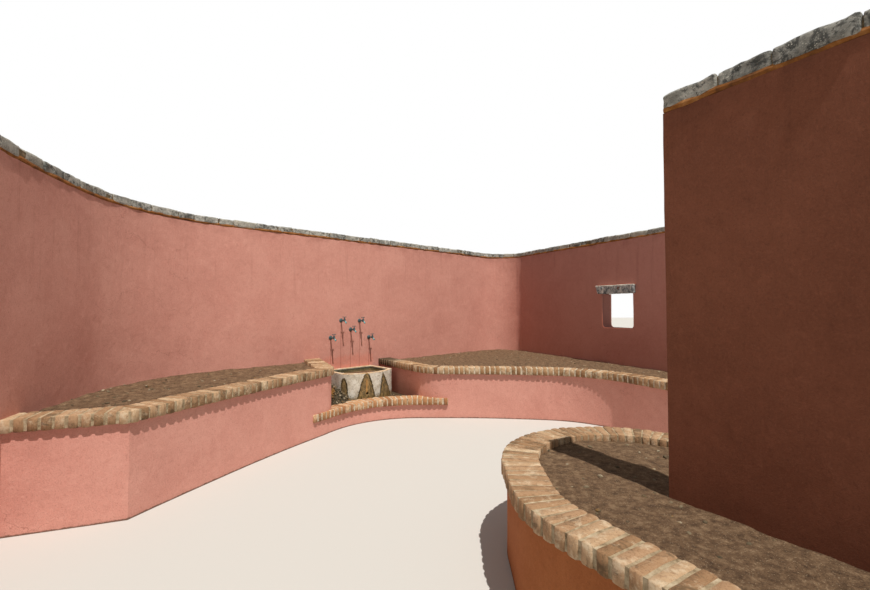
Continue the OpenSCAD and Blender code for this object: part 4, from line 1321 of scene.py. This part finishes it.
left_bed = outline(along(main_line, UNDER, low=end_foot_at, high=left_foot_at),
                   reversed(along(left_front_line, IN_PLANTER_WALL)),
                   reversed(along(left_end_line, IN_PLANTER_WALL)))
right_bed = outline(along(main_line, UNDER, low=right_foot_at, high=far_foot_at),
                    reversed(along(right_end_line, IN_PLANTER_WALL)),
                    reversed(along(right_line, IN_PLANTER_WALL)))
inner_bed = outline(along(inner_round_line, IN_PLANTER_WALL), along(inner_end_line, IN_PLANTER_WALL),
                    reversed(along(inner_line, UNDER, low=UNDER, high=inner_foot_at)),
                    along(inner_line, WALL_T - UNDER, low=UNDER, high=INNER_ROUND_FROM))
niche = outline(along(main_line, UNDER, low=left_foot_at - UNDER, high=right_foot_at + UNDER),
                along(right_line, UNDER, high=RIGHT_SIDE_RUN + 0.4),
                reversed(along(curb_line, IN_PLANTER_WALL)),
                along(left_front_line, UNDER, low=corner_past))

SOIL_DOWN, SOIL_T = 0.060, 0.06
niche_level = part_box("niche_soil")[1][2]
BEDS = (("left_planter", left_bed, left_top - SOIL_DOWN, 260),
        ("right_planter", right_bed, right_top - SOIL_DOWN, 420),
        ("inner_planter", inner_bed, inner_top - SOIL_DOWN, 160))
pebble_unit = pebble("pebble_unit", 4.0, 0.8)


def flat(level):
    return lambda x, y: level


for place, bed, level, _ in BEDS:
    earth(place + "_earth", bed, flat(level), level - SOIL_T, SOIL)
earth("niche_earth", niche, flat(niche_level), niche_level - SOIL_T, DAMP_SHADED_SOIL, rise=0.008)
for place, bed, level, count in BEDS:
    scattered(place + "_stones", GRAVELLY, count, bed, anywhere_over(bed), flat(level), RUBBLE)
scattered("niche_rubble", RUBBLY, 300, niche, anywhere_over(niche), flat(niche_level), MOSSY_RUBBLE)


# The heap of rubble between the left planter and the basin

HEAP_FROM, HEAP_H, HEAP_REACH, HEAP_ROUGH = 0.42, 0.34, 0.36, 0.035
heap_middle = ahead(left_side_start, HEAP_FROM)
basin_left_end = ahead(fountain, -BASIN_LEFT - BASIN_W / 2)
basin_corner = beside(basin_left_end, -(BOW_OUT + math.sqrt(BOW_R ** 2 - (BASIN_W / 2) ** 2)))
heap_bed = outline([beside(ahead(station, run), left) for station, run, left in (
    (left_side_start, 0.06, 0.03), (left_side_start, 0.85, 0.03), (basin_left_end, 0.0, -0.10),
    (basin_corner, 0.02, 0.02), (basin_corner, 0.22, -0.10), (basin_corner, 0.05, -0.28))])


def heap_height(x, y):
    away = math.hypot(x - heap_middle[0], y - heap_middle[1])
    rough = noise.noise(Vector((x * 16, y * 16, 3.0))) * HEAP_ROUGH
    return niche_level + (HEAP_H * max(0.0, 1.0 - away / HEAP_REACH) ** 0.85 + rough * (away < HEAP_REACH))


def over_heap():
    angle, away = chance.uniform(-math.pi, math.pi), HEAP_REACH * math.sqrt(chance.random())
    return Vector((heap_middle[0] + away * math.cos(angle), heap_middle[1] + away * math.sin(angle), 0))


earth("heap_earth", heap_bed, heap_height, niche_level - 0.03, MOSSY_RUBBLE, rise=0.012, step=0.02)
scattered("rubble_heap", HEAPED, 330, heap_bed, over_heap, heap_height, MOSSY_RUBBLE)


# Water

WATER_DOWN, WATER_T, WATER_LAP = 0.045, 0.012, 0.004


def water_in_basin():
    """Water that stands below the basin's rim, a little into its inner faces."""
    level, inner = BASIN_TOP - WATER_DOWN, BASIN_T - WATER_LAP
    bow, half = BOW_R - BASIN_T + WATER_LAP, BASIN_W / 2 - BASIN_T + WATER_LAP
    edge = math.degrees(math.asin(half / bow))
    corners = [(-half, inner - BOW_OUT)]
    for i in range(33):
        angle = math.radians(-edge + 2 * edge * i / 32)
        corners.append((bow * math.sin(angle), bow * math.cos(angle)))
    corners.append((half, inner - BOW_OUT))
    spots = [beside(ahead(bow_middle, x), -y) for x, y in corners]
    bm = bmesh.new()
    skin(bm, [[bm.verts.new((x, y, z)) for x, y, _ in spots] for z in (level, level - WATER_T)])
    bmesh.ops.triangulate(bm, faces=bm.faces)
    return new_piece("basin_water", mesh_from("basin_water", bm, WATER), "basin_stone")


water_in_basin()


# Finishes of the CAD nodes that stay

def dressed(material, *nodes):
    for node in nodes:
        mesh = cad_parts[node].data
        mesh.materials.clear()
        mesh.materials.append(material)


dressed(SOIL, "left_planter_soil", "right_planter_soil", "inner_planter_soil")
dressed(DAMP_SHADED_SOIL, "niche_soil")
dressed(BRONZE, "tap_bodies", *("tap_handle_%d" % number for number in range(1, 6)))


# Floor, light and camera

def plain(name, colour):
    material = bpy.data.materials.new(name)
    material.use_nodes = True
    shader = material.node_tree.nodes["Principled BSDF"]
    shader.inputs["Base Color"].default_value = colour
    shader.inputs["Roughness"].default_value = 0.9
    return material


def floor():
    bm = bmesh.new()
    bmesh.ops.create_grid(bm, x_segments=1, y_segments=1, size=60.0)
    sheet = put("floor", mesh_from("floor", bm, plain("floor_paint", rgb(194, 191, 185))))


def white_surround(fill):
    """A world that is white to the eye and in reflections, and lights the object at the fill's level."""
    world = bpy.data.worlds.new("surround")
    bpy.context.scene.world = world
    world.use_nodes = True
    tree = world.node_tree
    back = tree.nodes["Background"].inputs
    path = add_node(tree, "ShaderNodeLightPath").outputs
    seen = path["Is Camera Ray"]
    for name in ("Is Glossy Ray", "Is Transmission Ray"):
        seen = add_node(tree, "ShaderNodeMath", {0: seen, 1: path[name]}, operation="MAXIMUM").outputs[0]
    level = add_node(tree, "ShaderNodeMapRange", {"Value": seen, "To Min": fill, "To Max": 1.0})
    plug(tree, back["Strength"], level.outputs["Result"])
    plug(tree, back["Color"], (1.0, 1.0, 1.0, 1.0))


def sun(strength, elevation, bearing, spread):
    lamp = bpy.data.lights.new("sun", "SUN")
    lamp.energy = strength
    lamp.angle = math.radians(spread)
    lamp.color = (1.0, 0.97, 0.92)
    flat, up = math.cos(math.radians(elevation)), math.sin(math.radians(elevation))
    towards = Vector((flat * math.cos(math.radians(bearing)), flat * math.sin(math.radians(bearing)), up))
    put("sun", lamp).rotation_euler = towards.to_track_quat("Z", "Y").to_euler()


def camera(eye, tilt):
    """A camera at standing height that looks along +Y, tilted up by some degrees, with a wide lens."""
    lens = bpy.data.cameras.new("camera")
    lens.sensor_width = 36.0
    lens.lens = 18.0
    lens.clip_end = 200.0
    holder = put("camera", lens)
    holder.location = eye
    holder.rotation_euler = (math.radians(90 + tilt), 0, 0)
    bpy.context.scene.camera = holder


floor()
white_surround(fill=0.26)
sun(strength=4.2, elevation=66.0, bearing=-63.0, spread=0.6)
camera(eye=(1.4045, -6.9551, 1.55), tilt=1.646)
bpy.context.scene.view_settings.view_transform = "Standard"
